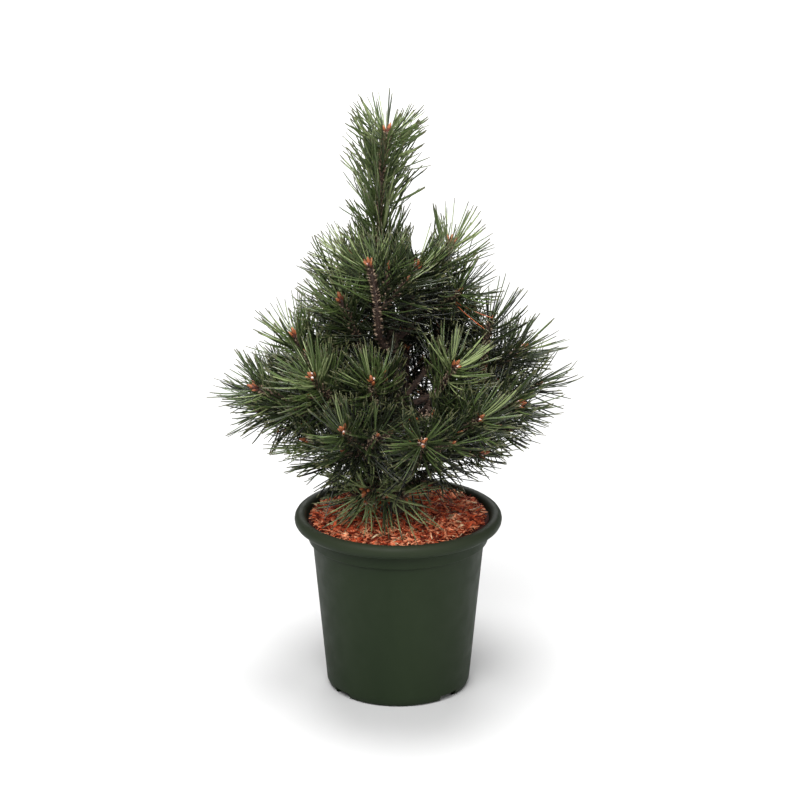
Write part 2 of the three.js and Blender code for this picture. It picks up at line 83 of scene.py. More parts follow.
# %% [markdown]
# ## Studio
# A pale floor and a weak pale sky stand for a catalogue's studio. The key lamp hangs in front, high and a
# little to the left, and models the tufts. A weak lamp on the right keeps the shaded side readable, one
# right above draws the soft shadow round the pot, and one far behind whitens the floor there. All are
# large, because a small lamp would draw a hard black shadow behind every needle. The picture is shown
# without a film curve, so that a dark green comes out as dark as it was chosen.

# %% Floor, sky and lamps
FLOOR_SIZE = 30.0
FLOOR_GREY = 0.47
FLOOR_ROUGHNESS = 0.9
SKY_STRENGTH = 0.18
LAMPS = {  # place, aim, size across and power
    "key_lamp": ((-0.5, -2.1, 2.7), (0, 0, 0.35), 2.5, 178),
    "fill_lamp": ((2.2, -1.6, 1.4), (0, 0, 0.3), 1.6, 22),
    "top_lamp": ((0, 0.1, 3.2), (0, 0, 0.4), 1.4, 124),
    "backdrop_lamp": ((0, 4.6, 3.2), (0, 5.4, 0), 4.0, 420),
}
bpy.context.scene.view_settings.view_transform = "Standard"


def paper_floor():
    bpy.ops.mesh.primitive_plane_add(size=FLOOR_SIZE)
    floor = bpy.context.object
    floor.name = "floor"
    paper = bpy.data.materials.new("floor_paper")
    paper.use_nodes = True
    shader = paper.node_tree.nodes["Principled BSDF"]
    shader.inputs["Base Color"].default_value = (FLOOR_GREY, FLOOR_GREY, FLOOR_GREY, 1)
    shader.inputs["Roughness"].default_value = FLOOR_ROUGHNESS
    floor.data.materials.append(paper)


def pale_sky():
    world = bpy.data.worlds.new("pale_sky")
    world.use_nodes = True
    sky = world.node_tree.nodes["Background"]
    sky.inputs["Color"].default_value = (1, 1, 1, 1)
    sky.inputs["Strength"].default_value = SKY_STRENGTH
    bpy.context.scene.world = world


def hang_lamp(name, place, aim, size, power):
    bpy.ops.object.light_add(type="AREA", location=place)
    light = bpy.context.object
    light.name = name
    light.data.shape = "DISK"
    light.data.size = size
    light.data.energy = power
    light.rotation_euler = (Vector(aim) - Vector(place)).to_track_quat("-Z", "Y").to_euler()


paper_floor()
pale_sky()
for lamp_name, settings in LAMPS.items():
    hang_lamp(lamp_name, *settings)
print("The studio has", len(LAMPS), "lamps")

# %% [markdown]
# ## Small helpers
# Every finished piece moves with the plant's one body and hides the solid model's parts that it stands for.
# A material starts from Blender's principled shader, and its patterns read Object coordinates, which stay
# on the piece from every side.


# %% Helpers for pieces and materials
def keep(piece, materials, slot, *stands_for):
    """A finished piece gets its materials, rides on the plant, and hides its solid parts. Its slot is not
    used.
    """
    for material in materials:
        piece.data.materials.append(material)
    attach(piece, "root")
    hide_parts(*stands_for)
    piece.data.calc_loop_triangles()
    print(f"{piece.name}: {len(piece.data.loop_triangles)} triangles")


def linear(red, green, blue):
    """The colour that a shader needs for a colour as a screen shows it, each from 0 to 255."""
    shares = [value / 255 for value in (red, green, blue)]
    curved = [s / 12.92 if s <= 0.04045 else ((s + 0.055) / 1.055) ** 2.4 for s in shares]
    return (*curved, 1.0)


class Finish:
    """A material under construction: its shader, and short ways to add patterns to it. Colours are given as
    a screen shows them, and roughness is even unless a pattern drives it."""

    CLOUD_RANGE = (0.3, 0.7)  # most of the values of a noise pattern

    def __init__(self, name, roughness=0.5, specular=0.5):
        self.material = bpy.data.materials.new(name)
        self.material.use_nodes = True
        self.tree = self.material.node_tree
        self.shader = self.tree.nodes["Principled BSDF"]
        self.shader.inputs["Roughness"].default_value = roughness
        self.shader.inputs["Specular IOR Level"].default_value = specular
        self.coordinates = self.tree.nodes.new("ShaderNodeTexCoord").outputs["Object"]

    def cloud(self, scale, detail, stretch=(1, 1, 1)):
        """Soft noise, `scale` cells a metre, drawn out along an axis by a small stretch."""
        mapping = self.tree.nodes.new("ShaderNodeMapping")
        mapping.inputs["Scale"].default_value = stretch
        self.tree.links.new(self.coordinates, mapping.inputs["Vector"])
        cloud = self.tree.nodes.new("ShaderNodeTexNoise")
        cloud.inputs["Scale"].default_value = scale
        cloud.inputs["Detail"].default_value = detail
        self.tree.links.new(mapping.outputs["Vector"], cloud.inputs["Vector"])
        return cloud.outputs["Fac"]

    def ramp(self, source, *stops):
        """Two colours dealt over a pattern, as (share, colour) stops."""
        ramp = self.tree.nodes.new("ShaderNodeValToRGB")
        for element, (share, colour) in zip(ramp.color_ramp.elements, stops):
            element.position = share
            element.color = linear(*colour)
        self.tree.links.new(source, ramp.inputs["Fac"])
        return ramp.outputs["Color"]

    def moved(self, value, old, new):
        """A value of the range `old`, moved to the range `new`."""
        spread = self.tree.nodes.new("ShaderNodeMapRange")
        for end, number in zip(("From Min", "From Max", "To Min", "To Max"), (*old, *new)):
            spread.inputs[end].default_value = number
        self.tree.links.new(value, spread.inputs["Value"])
        return spread.outputs["Result"]

    def between(self, low, high):
        """A share that grows from 0 to 1 between two heights of the piece."""
        parts = self.tree.nodes.new("ShaderNodeSeparateXYZ")
        self.tree.links.new(self.coordinates, parts.inputs["Vector"])
        return self.moved(parts.outputs["Z"], (low, high), (0, 1))

    def blend(self, share, under, over):
        """One colour laid over another by a share."""
        mix = self.tree.nodes.new("ShaderNodeMixRGB")
        self.tree.links.new(share, mix.inputs["Fac"])
        self.tree.links.new(under, mix.inputs["Color1"])
        mix.inputs["Color2"].default_value = linear(*over)
        return mix.outputs["Color"]

    def colour(self, source):
        self.tree.links.new(source, self.shader.inputs["Base Color"])

    def plain_colour(self, colour):
        self.shader.inputs["Base Color"].default_value = linear(*colour)

    def gloss(self, source, low, high):
        """Roughness that wanders between two values over a pattern."""
        roughness = self.moved(source, self.CLOUD_RANGE, (low, high))
        self.tree.links.new(roughness, self.shader.inputs["Roughness"])

    def relief(self, source, depth, strength=1.0):
        """Fine bumps, `depth` metres from low to high."""
        bump = self.tree.nodes.new("ShaderNodeBump")
        bump.inputs["Distance"].default_value = depth
        bump.inputs["Strength"].default_value = strength
        self.tree.links.new(source, bump.inputs["Height"])
        self.tree.links.new(bump.outputs["Normal"], self.shader.inputs["Normal"])


# %% [markdown]
# ## The pot
# The pot is one injection moulding in satin dark green plastic: a foot ring with notches that let water
# out, a wall that widens upwards, a stepped collar, and a thick rolled rim. It could be a spun outline.
# Here a ring is extruded, widened and lifted step by step, as a wall is drawn up on a wheel, because each
# step can be looked at. A small bevel rounds what a mould can't leave sharp. Boolean modifiers then cut the
# notches and drain holes. They come last, as the short edges beside a cut would hold the bevel back.

# %% The pot's sizes
POT_SIDES = 112
FOOT_RADIUS = 73
FOOT_RING = 4.5  # width of the ring that the pot stands on
FOOT_RECESS = 3.5  # from the standing surface up to the floor's underside
FLOOR = 4
FLOOR_TOP = FOOT_RECESS + FLOOR
WALL = 2
CORNER_RADIUS = 78.2
CORNER_HEIGHT = 6.5
CORNER_SWELL = 3.2  # how far out the corner has come at a share of its height
SWELL_AT = 0.26
BODY_TOP_RADIUS = 93
BODY_TOP = 166
COLLAR_RADIUS = 97.4
COLLAR_FOOT = 168
COLLAR_TOP = 183.6
COLLAR_FLARE = 1
INNER_BEVEL = 4  # where the floor meets the wall inside
RIM_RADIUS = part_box("pot")[1].x / MM
POT_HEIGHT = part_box("pot")[1].z / MM
ROLL_ACROSS = 6.5  # half the rolled rim's width
ROLL_UP = 7.3  # half its height
ROLL_TURNS = (-112, 180)  # degrees, from under its outer side over the top to its inner side
ROLL_STEPS = 14
POLE = 3  # radius of the small disc that closes the pot's middle


def wall_radius(height):
    """The outer face of the pot's straight wall."""
    share = (height - CORNER_HEIGHT) / (BODY_TOP - CORNER_HEIGHT)
    return CORNER_RADIUS + share * (BODY_TOP_RADIUS - CORNER_RADIUS)


def inner_radius(height):
    """The inner face of the wall and the collar."""
    if height <= BODY_TOP:
        return wall_radius(height) - WALL
    share = min(1, (height - BODY_TOP) / (COLLAR_FOOT - BODY_TOP))
    return BODY_TOP_RADIUS + share * (COLLAR_RADIUS - BODY_TOP_RADIUS) - WALL


print("The pot is", round(POT_HEIGHT, 1), "mm tall and", round(2 * RIM_RADIUS, 1), "mm across its rim")

# %% Draw up the wall
NOTCH_BAND = 10  # a ring above the notches, which keeps their cuts out of the tall faces of the wall


def rolled_rim():
    """The rim's rounding, from under its outer side over the top to its inner side."""
    turns = np.radians(np.linspace(*ROLL_TURNS, ROLL_STEPS))
    radius = RIM_RADIUS - ROLL_ACROSS
    height = POT_HEIGHT - ROLL_UP
    return [(radius + ROLL_ACROSS * math.cos(turn), height + ROLL_UP * math.sin(turn)) for turn in turns]


def draw_up(name, outline, sides):
    """A closed turned body: its first ring is extruded, widened and lifted to each next (radius, height)."""
    radius, height = outline[0]
    bpy.ops.mesh.primitive_circle_add(vertices=sides, radius=radius * MM, location=(0, 0, height * MM))
    body = bpy.context.object
    body.name = name
    bpy.ops.object.mode_set(mode="EDIT")
    bpy.ops.mesh.select_all(action="SELECT")
    for next_radius, next_height in outline[1:]:
        lift = (0, 0, (next_height - height) * MM)
        bpy.ops.mesh.extrude_region_move(TRANSFORM_OT_translate={"value": lift})
        bpy.ops.transform.resize(value=(next_radius / radius, next_radius / radius, 1))
        radius = next_radius
        height = next_height
    bpy.ops.mesh.select_all(action="SELECT")
    bpy.ops.mesh.fill_holes(sides=0)
    bpy.ops.mesh.normals_make_consistent(inside=False)
    bpy.ops.object.mode_set(mode="OBJECT")
    bpy.ops.object.transform_apply(location=True, rotation=True, scale=True)
    return body


pot_outline = [
    (POLE, FOOT_RECESS),
    (FOOT_RADIUS - FOOT_RING, FOOT_RECESS),
    (FOOT_RADIUS - FOOT_RING, 0),
    (FOOT_RADIUS, 0),
    (FOOT_RADIUS + CORNER_SWELL, CORNER_HEIGHT * SWELL_AT),
    (CORNER_RADIUS, CORNER_HEIGHT),
    (wall_radius(NOTCH_BAND), NOTCH_BAND),
    (wall_radius(2 * NOTCH_BAND), 2 * NOTCH_BAND),
    (BODY_TOP_RADIUS, BODY_TOP),
    (COLLAR_RADIUS, COLLAR_FOOT),
    (COLLAR_RADIUS + COLLAR_FLARE, COLLAR_TOP),
    *rolled_rim(),
    (inner_radius(COLLAR_TOP), COLLAR_TOP),
    (inner_radius(COLLAR_FOOT), COLLAR_FOOT),
    (inner_radius(BODY_TOP), BODY_TOP),
    (inner_radius(FLOOR_TOP + INNER_BEVEL), FLOOR_TOP + INNER_BEVEL),
    (inner_radius(FLOOR_TOP) - INNER_BEVEL, FLOOR_TOP),
    (POLE, FLOOR_TOP),
]
pot = draw_up("nursery_pot", pot_outline, POT_SIDES)
print("The pot's wall has", len(pot.data.polygons), "faces")

# %% Round the edges, then cut the notches and drain holes
EDGE_ROUNDING = 0.45
ROUNDED_FROM = math.radians(28)  # sharper edges than this are rounded
CREASED_FROM = math.radians(34)  # sharper edges than this stay a crease in the shading
NOTCH_TURNS = (-142, -45, 38, 135)
NOTCH_SIZE = (18, 23.6, 14)  # inwards, along the foot and up; its lower half is under the ground
DRAIN_RADIUS = 5
DRAIN_SIDES = 24
DRAIN_REACH = 54
DRAIN_DEPTH = 4 * FLOOR


def apply_modifier(body, kind, **settings):
    bpy.ops.object.select_all(action="DESELECT")
    body.select_set(True)
    bpy.context.view_layer.objects.active = body
    modifier = body.modifiers.new(kind.lower(), kind)
    for setting, value in settings.items():
        setattr(modifier, setting, value)
    bpy.ops.object.modifier_apply(modifier=modifier.name)


def cut_away(body, cutter):
    apply_modifier(body, "BOOLEAN", operation="DIFFERENCE", solver="EXACT", object=cutter)
    bpy.data.objects.remove(cutter)


def cut_notch_and_drain(body, turn):
    towards = Vector((math.cos(turn), math.sin(turn), 0))
    bpy.ops.mesh.primitive_cube_add(size=1, location=towards * FOOT_RADIUS * MM, rotation=(0, 0, turn))
    bpy.ops.transform.resize(value=[side * MM for side in NOTCH_SIZE], orient_type="LOCAL")
    cut_away(body, bpy.context.object)
    drain = towards * DRAIN_REACH * MM + Vector((0, 0, FLOOR_TOP * MM))
    bpy.ops.mesh.primitive_cylinder_add(
        vertices=DRAIN_SIDES, radius=DRAIN_RADIUS * MM, depth=DRAIN_DEPTH * MM, location=drain
    )
    cut_away(body, bpy.context.object)


rounding = {"width": EDGE_ROUNDING * MM, "segments": 2, "limit_method": "ANGLE", "angle_limit": ROUNDED_FROM}
apply_modifier(pot, "BEVEL", **rounding)
for degrees in NOTCH_TURNS:
    cut_notch_and_drain(pot, math.radians(degrees))
bpy.ops.object.shade_smooth_by_angle(angle=CREASED_FROM)
print("The pot now has", len(pot.data.polygons), "faces")


# %% Satin dark green plastic
def pot_plastic():
    """Through-coloured plastic: nearly even, with faint flow marks, a fine mould grain, and a rim band
    painted a lighter, greyer green as a painted sheen."""
    finish = Finish("pot_plastic", specular=0.1)
    flow = finish.cloud(14, detail=3, stretch=(1, 1, 0.35))
    plastic = finish.ramp(flow, (0.3, (29, 39, 24)), (0.7, (35, 45, 29)))
    # from the collar up, the rim is painted a lighter, greyer green: a painted sheen
    rim = finish.between(COLLAR_TOP * MM, POT_HEIGHT * MM)
    finish.colour(finish.blend(rim, plastic, (41, 46, 34)))
    finish.gloss(finish.cloud(60, detail=5), 0.48, 0.6)
    finish.relief(finish.cloud(1900, detail=2), 0.00012, strength=0.35)
    return finish.material


keep(pot, [pot_plastic()], "pot_plastic", "pot")

# %% [markdown]
# ## Soil
# The compost fills the pot under the bark, and only its edge and what the drain holes show can be seen. Its
# solid has the right shape already, so it stays and gets a dark, crumbly finish.


# %% Soil
def compost():
    finish = Finish("compost", 0.95)
    crumbs = finish.cloud(420, detail=8)
    finish.colour(finish.ramp(crumbs, (0.35, (24, 17, 13)), (0.65, (62, 44, 32))))
    finish.relief(crumbs, 0.003)
    return finish.material


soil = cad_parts["soil"]
soil.data.materials.clear()
soil.data.materials.append(compost())
print("The soil is dressed")

# %% [markdown]
# ## Shredded bark
# The mulch is pine bark torn into shreds, from fine fibres to chips as long as a finger joint, lying flat
# and crossed. A bed is modelled first, so that no light falls through. A disc is inset again and again into
# rings, extruded to a slab, and its top is pushed up and down by noise. Thousands of shreds then lie on the
# bed. They are made as one mesh of each colour from arrays, because thousands of separate objects would
# slow Blender down.

# %% The bed under the shreds
BARK_BOTTOM = 176.3
BARK_EDGE = 190.6  # where the bark meets the rim
BARK_CROWN = 196.5  # in the middle
BARK_LEVEL = 17  # radius of the level patch round the trunk
BARK_TILT = 0.016  # it was pushed up towards the right
BARK_FREE = 0.9  # how far the bark ends inside the rolled rim
BARK_REACH = RIM_RADIUS - 2 * ROLL_ACROSS - BARK_FREE
BED_FREE = 0.6  # how far the bed's foot ends inside the wall
BED_RADIUS = inner_radius(BARK_EDGE) - BED_FREE
BED_SIDES = 96
BED_RINGS = 26
BED_THICKNESS = 5
BED_DEPTH = 1.2  # how far the bed's top lies under the shreds' middle
BED_LUMP = 2.0
LUMP_SIZE = 7
LUMP_LAYERS = (0.6, 2.2, 3)  # how fast finer layers fade, how much finer each is, and their number


def bark_height(points):
    """The middle height of the bark's surface at points."""
    distance = np.linalg.norm(points[..., :2], axis=-1)
    out = np.clip((distance - BARK_LEVEL) / (BARK_REACH - BARK_LEVEL), 0, 1)
    return BARK_CROWN + (BARK_EDGE - BARK_CROWN) * out * out + BARK_TILT * points[..., 0]


def bark_slab():
    """A disc of many rings, extruded to a slab."""
    bpy.ops.mesh.primitive_circle_add(
        vertices=BED_SIDES, radius=BED_RADIUS * MM, fill_type="NGON", location=(0, 0, BARK_BOTTOM * MM)
    )
    slab = bpy.context.object
    slab.name = "bark_bed"
    bpy.ops.object.mode_set(mode="EDIT")
    bpy.ops.mesh.select_all(action="SELECT")
    for _ in range(BED_RINGS):
        bpy.ops.mesh.inset(thickness=BED_RADIUS / (BED_RINGS + 1) * MM)
    bpy.ops.mesh.poke()
    bpy.ops.mesh.select_all(action="SELECT")
    bpy.ops.mesh.extrude_region_move(TRANSFORM_OT_translate={"value": (0, 0, BED_THICKNESS * MM)})
    bpy.ops.mesh.select_all(action="SELECT")
    bpy.ops.mesh.normals_make_consistent(inside=False)
    bpy.ops.object.mode_set(mode="OBJECT")
    bpy.ops.object.transform_apply(location=True, rotation=True, scale=True)
    return slab


def make_lumpy(slab):
    """The slab's top is spread to the bark's reach and pushed up and down."""
    for vertex in slab.data.vertices:
        if vertex.co.z > (BARK_BOTTOM + BED_THICKNESS / 2) * MM:
            place = np.array(vertex.co) / MM
            place[:2] *= BARK_REACH / BED_RADIUS
            lump = noise.fractal(Vector(place) / LUMP_SIZE, *LUMP_LAYERS) * BED_LUMP
            vertex.co = (place[0] * MM, place[1] * MM, (bark_height(place) - BED_DEPTH + lump) * MM)
    bpy.ops.object.shade_smooth()


bed = bark_slab()
make_lumpy(bed)
print("The bed has", len(bed.data.polygons), "faces")


# %% Helpers that join many small shapes into one mesh
def joined(name, shapes, quads, triangles, smooth, marked=()):
    """One object from `shapes`, an array of (shape, corner, xyz) in millimetres, which all have the same
    faces. Faces of the pattern whose numbers are `marked` take the second material."""
    count, corners = shapes.shape[:2]
    starts = (np.arange(count) * corners)[:, None, None]
    loops = [
        (np.array(faces, int).reshape(-1, size)[None] + starts).reshape(-1, size)
        for faces, size in ((quads, 4), (triangles, 3))
    ]
    firsts = np.concatenate([[0], np.cumsum([4] * len(loops[0]) + [3] * len(loops[1]))])[:-1]
    mesh = bpy.data.meshes.new(name)
    mesh.vertices.add(count * corners)
    mesh.vertices.foreach_set("co", (shapes * MM).astype(np.float32).ravel())
    mesh.loops.add(loops[0].size + loops[1].size)
    mesh.loops.foreach_set("vertex_index", np.concatenate([part.ravel() for part in loops]).astype(np.int32))
    mesh.polygons.add(len(firsts))
    mesh.polygons.foreach_set("loop_start", firsts.astype(np.int32))
    pattern = np.array([index in marked for index in range(len(quads) + len(triangles))], np.int32)
    which = np.concatenate([np.tile(pattern[:len(quads)], count), np.tile(pattern[len(quads):], count)])
    mesh.polygons.foreach_set("material_index", which)
    mesh.polygons.foreach_set("use_smooth", np.full(len(firsts), smooth))
    mesh.update(calc_edges=True)
    mesh.validate()
    piece = bpy.data.objects.new(name, mesh)
    bpy.context.collection.objects.link(piece)
    return piece


def tube_faces(rings, sides, pointed=False):
    """The quads and triangles of a tube of rings. A fan closes each end, or a point closes the far one."""
    quads = [
        (ring * sides + side, ring * sides + (side + 1) % sides,
         (ring + 1) * sides + (side + 1) % sides, (ring + 1) * sides + side)
        for ring in range(rings - 1) for side in range(sides)
    ]
    triangles = [(0, side + 1, side) for side in range(1, sides - 1)]
    last = (rings - 1) * sides
    if pointed:
        triangles += [(last + side, last + (side + 1) % sides, last + sides) for side in range(sides)]
    else:
        triangles += [(last, last + side, last + side + 1) for side in range(1, sides - 1)]
    return quads, triangles


def unit(vectors):
    return vectors / np.maximum(np.linalg.norm(vectors, axis=-1, keepdims=True), 1e-9)


def level_places(distance, bearing):
    """Points at a distance from the pot's axis, at height 0."""
    return np.stack([distance * np.cos(bearing), distance * np.sin(bearing), np.zeros(len(bearing))], -1)


def leftwards(heading):
    """The level ways to the left of a heading."""
    return np.stack([-np.sin(heading), np.cos(heading), np.zeros(len(heading))], -1)


print("A tube of 4 rings and 4 sides has", [len(faces) for faces in tube_faces(4, 4)], "quads and triangles")

# %% Scatter the shreds
SHRED_COUNT = 7600
SHRED_LENGTHS = (3, 32)
USUAL_LENGTH = 2.32  # the logarithm of the usual length, 10 mm
LENGTH_SPREAD = 0.45
CHIP_SHARE = 0.09  # the rest are fibres
CHIP_WIDTHS = (0.22, 0.4)  # as shares of the length
FIBRE_WIDTHS = (0.09, 0.19)
SHRED_WIDTHS = (0.7, 5)
SHRED_THICKNESS = (0.25, 0.5)  # as shares of the width
SHRED_TILT = 16  # degrees
SHRED_ROLL = 34
SHRED_BEND = 0.09
SHRED_LEVELS = (-2.2, 4.0)  # from the middle height of the bark's surface
LENGTH_SINKS = 0.02  # a long shred lies this share of its length deeper
TRUNK_ROOM = 10
RIM_ROOM = 0.8
SHRED_SIDES = 4
LEAST_FULL = (0.15, 0.7, 0.6, 0.1)  # share of the width at each ring, from its foot to its tip
MOST_FULL = (0.7, 1, 1, 0.6)
SHRED_RINGS = len(MOST_FULL)
RAGGED = (0.75, 1.25)
FIRST_SEED = 40
DAMP = 0.66  # share of a shred's brightness where it is dampest
DRY = 1.14
SQUARE_WIDTH = 1.4  # a square's width, where its corners are 1 from its middle
SHRED_TONES = {  # share of the shreds, and the colour as a screen shows it
    "rust": (0.38, (186, 84, 52)),
    "umber": (0.28, (100, 34, 18)),
    "tan": (0.29, (234, 146, 108)),
    "straw": (0.05, (252, 204, 164)),
}


def shreds(count, seed):
    """Bent, tapering splinters that lie on the bed, as an array of shapes."""
    dice = np.random.default_rng(seed)
    length = np.clip(dice.lognormal(USUAL_LENGTH, LENGTH_SPREAD, count), *SHRED_LENGTHS)
    chips = dice.uniform(0, 1, count) < CHIP_SHARE
    slender = np.where(chips, dice.uniform(*CHIP_WIDTHS, count), dice.uniform(*FIBRE_WIDTHS, count))
    width = np.clip(length * slender, *SHRED_WIDTHS)
    thick = width * dice.uniform(*SHRED_THICKNESS, count)
    heading = dice.uniform(0, 2 * np.pi, count)
    tilt = np.radians(dice.normal(0, SHRED_TILT, count))
    room = BARK_REACH - RIM_ROOM - length / 2
    distance = np.sqrt(dice.uniform(0, 1, count)) * (room - TRUNK_ROOM) + TRUNK_ROOM
    middle = level_places(distance, dice.uniform(0, 2 * np.pi, count))
    ahead = np.stack([np.cos(heading) * np.cos(tilt), np.sin(heading) * np.cos(tilt), np.sin(tilt)], -1)
    level = leftwards(heading)
    roll = np.radians(dice.normal(0, SHRED_ROLL, count))[:, None]
    across = level * np.cos(roll) + np.cross(ahead, level) * np.sin(roll)
    upward = np.cross(ahead, across)
    middle[:, 2] = bark_height(middle) + dice.uniform(*SHRED_LEVELS, count) - length * LENGTH_SINKS
    bend = dice.normal(0, SHRED_BEND, count)
    shapes = np.empty((count, SHRED_RINGS * SHRED_SIDES, 3))
    fullness = dice.uniform(LEAST_FULL, MOST_FULL, (count, SHRED_RINGS))
    for ring in range(SHRED_RINGS):
        along = ring / (SHRED_RINGS - 1) - 0.5
        sag = (0.25 - along * along) * bend
        centre = middle + ahead * (along * length)[:, None] + across * (sag * length * 2)[:, None]
        for side in range(SHRED_SIDES):
            turn = 2 * np.pi * (side + 0.5) / SHRED_SIDES
            rough = fullness[:, ring] * dice.uniform(*RAGGED, count)
            shapes[:, ring * SHRED_SIDES + side] = (
                centre + across * (math.cos(turn) * width / SQUARE_WIDTH * rough)[:, None]
                + upward * (math.sin(turn) * thick / SQUARE_WIDTH * rough)[:, None]
            )
    return shapes


def bark_finish(name, colour):
    """Torn bark: a given tone, mottled by damp, with a dull fibrous surface. On the bed it is painted shade.
    """
    finish = Finish("bark_" + name, 0.8, specular=0.2)
    mottle = finish.cloud(260, detail=6)
    dark = [value * DAMP for value in colour]
    light = [min(255, value * DRY) for value in colour]
    finish.colour(finish.ramp(mottle, (0.32, dark), (0.62, light)))
    finish.relief(finish.cloud(1500, detail=3), 0.0004, strength=0.6)
    return finish.material


# the bed is darker than any shred: painted shade in the gaps between the shreds
keep(bed, [bark_finish("bed", (58, 18, 9))], "bark_mulch", "bark_mulch")
for number, (tone, (share, colour)) in enumerate(SHRED_TONES.items()):
    shapes = shreds(round(SHRED_COUNT * share), seed=FIRST_SEED + number)
    piece = joined("bark_shreds_" + tone, shapes, *tube_faces(SHRED_RINGS, SHRED_SIDES), smooth=False)
    keep(piece, [bark_finish(tone, colour)], "bark_mulch", "bark_mulch")

# %% [markdown]
# ## How the pine grows
# The plant follows one rule. The trunk leans in a long curve. Each bough leaves the trunk at its root
# height and bends up to its bud. Its outer part is a stem that carries needles. Some stems fork, and finer
# twigs leave them by chance, where there is room. The table gives each shoot's bud: `turn` in degrees round
# the pot's axis (0 is right, 90 is back and -90 is front), `reach` from that axis, `height` above the
# ground, the way that it points, and the length that bears needles. Modelling each bough by hand would take
# days, and a rule can be changed in a minute.

# %% The shoots
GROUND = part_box("trunk")[0].z / MM
TRUNK_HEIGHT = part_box("trunk")[1].z / MM - GROUND
TRUNK_RIGHT = (0, 23, -41, -11)
TRUNK_BACK = (0, 8, 2, 0)
Shoot = namedtuple("Shoot", "turn reach height aim_turn aim_tilt needled")
BOUGHS = {  # the height of its root, and its shoots
    "low_front": (216, [(-113, 88, 250, -112, 6, 70), (-84, 76, 240, -76, 4, 44)]),
    "low_left": (228, [(-150, 110, 298, -160, 18, 86)]),
    "low_right": (222, [(-34, 106, 284, -26, 4, 86)]),
    "low_back": (218, [(84, 96, 264, 84, 12, 76)]),
    "left": (256, [(-173, 152, 344, -176, 24, 104), (-178, 150, 314, 180, 8, 62)]),
    "front_left": (244, [(-114, 138, 332, -120, 44, 98)]),
    "front_right": (232, [(-80, 144, 325, -86, 30, 96)]),
    "right_front": (262, [(-54, 142, 342, -46, 42, 100)]),
    "right": (250, [(-18, 134, 332, -14, 16, 96), (5, 150, 338, 4, 14, 66)]),
    "back_right": (234, [(46, 140, 316, 48, 18, 94), (28, 138, 356, 26, 40, 66)]),
    "back": (262, [(92, 141, 342, 94, 34, 100)]),
    "back_left": (240, [(124, 144, 330, 126, 28, 96), (150, 146, 322, 156, 16, 64)]),
    "mid_left": (306, [(176, 111, 394, 174, 70, 96)]),
    "mid_front_left": (292, [(-139, 118, 374, -142, 52, 94)]),
    "mid_front": (280, [(-106, 98, 374, -98, 60, 92)]),
    "mid_front_right": (300, [(-56, 106, 390, -40, 54, 94)]),
    "mid_right": (312, [(13, 136, 372, 14, 34, 98), (5, 99, 410, 4, 70, 68)]),
    "mid_back_right": (322, [(48, 92, 404, 36, 58, 92)]),
    "mid_back": (288, [(84, 100, 396, 88, 54, 92)]),
    "mid_back_left": (316, [(134, 104, 398, 140, 50, 94)]),
    "top_front": (376, [(-124, 54, 486, -170, 74, 104)]),
    "top_right": (388, [(35, 68, 488, 22, 76, 104)]),
    "top_left": (352, [(-160, 64, 442, 200, 66, 84), (160, 68, 458, 166, 72, 64)]),
    "top_back": (392, [(108, 58, 470, 106, 62, 84)]),
    "top_fork": (402, [(-48, 30, 478, -36, 70, 76)]),
    "top_inner": (412, [(172, 50, 480, 172, 66, 72)]),
}
print(len(BOUGHS), "boughs carry", sum(len(shoots) for _, shoots in BOUGHS.values()), "shoots")


# %% Curves and limbs
def seeded(seed):
    """The same chance numbers in every run."""
    state = seed

    def number():
        nonlocal state
        state = (state + 0x6D2B79F5) & 0xFFFFFFFF
        mixed = ((state ^ (state >> 15)) * (1 | state)) & 0xFFFFFFFF
        mixed = ((mixed + ((mixed ^ (mixed >> 7)) * (61 | mixed))) ^ mixed) & 0xFFFFFFFF
        return ((mixed ^ (mixed >> 14)) & 0xFFFFFFFF) / 4294967296

    return number


def direction(turn, tilt):
    """The way that points `turn` degrees round the axis and `tilt` degrees up."""
    turn = math.radians(turn)
    tilt = math.radians(tilt)
    return np.array([math.cos(tilt) * math.cos(turn), math.cos(tilt) * math.sin(turn), math.sin(tilt)])


def bezier(controls, shares):
    """Points of a smooth curve that its controls pull into shape."""
    order = len(controls) - 1
    shares = np.asarray(shares, float)[:, None]
    return sum(
        math.comb(order, i) * shares**i * (1 - shares) ** (order - i) * np.asarray(control, float)
        for i, control in enumerate(controls)
    )


def length_of(controls):
    return np.linalg.norm(np.diff(bezier(controls, np.linspace(0, 1, 201)), axis=0), axis=1).sum()


class Limb:
    """A trunk, bough, stem or twig: rings along a curve, each with the way ahead and two ways across."""

    RING_SPACING = 1.5

    def __init__(self, controls, start, end, radii):
        dense = bezier(controls, np.linspace(0, 1, 401))
        travelled = np.concatenate([[0], np.cumsum(np.linalg.norm(np.diff(dense, axis=0), axis=1))])
        rings = max(3, round((end - start) / self.RING_SPACING) + 1)
        places = np.linspace(start, end, rings)
        root_radius, tip_radius = radii
        self.at = np.stack([np.interp(places, travelled, dense[:, k]) for k in range(3)], -1)
        self.length = end - start
        self.share = np.linspace(0, 1, rings)
        self.radius = root_radius + (tip_radius - root_radius) * self.share
        self.ahead = unit(np.gradient(self.at, axis=0))
        self.side = np.empty_like(self.at)
        side = np.array([1.0, 0, 0])
        for ring, ahead in enumerate(self.ahead):
            side = unit(side - side.dot(ahead) * ahead)
            self.side[ring] = side
        self.up = np.cross(self.side, self.ahead)
        self.needled_from = 0.02  # share of its length where its needles start
        self.tuft = 1.0  # how crowded its needles are
        self.opening = (78, 40)  # how far its needles stand off, in degrees, at the base and at the bud

    def frame(self, share):
        """The point, the way ahead and the two ways across at a share of the length."""
        place = share * (len(self.at) - 1)
        row = min(len(self.at) - 2, int(place))
        mix = place - row
        at = self.at[row] * (1 - mix) + self.at[row + 1] * mix
        return at, self.ahead[row], self.side[row], self.up[row]


trunk_curve = [(TRUNK_RIGHT[i], TRUNK_BACK[i], GROUND + TRUNK_HEIGHT * i / 3) for i in range(4)]
print("The trunk's curve is", round(length_of(trunk_curve)), "mm long")

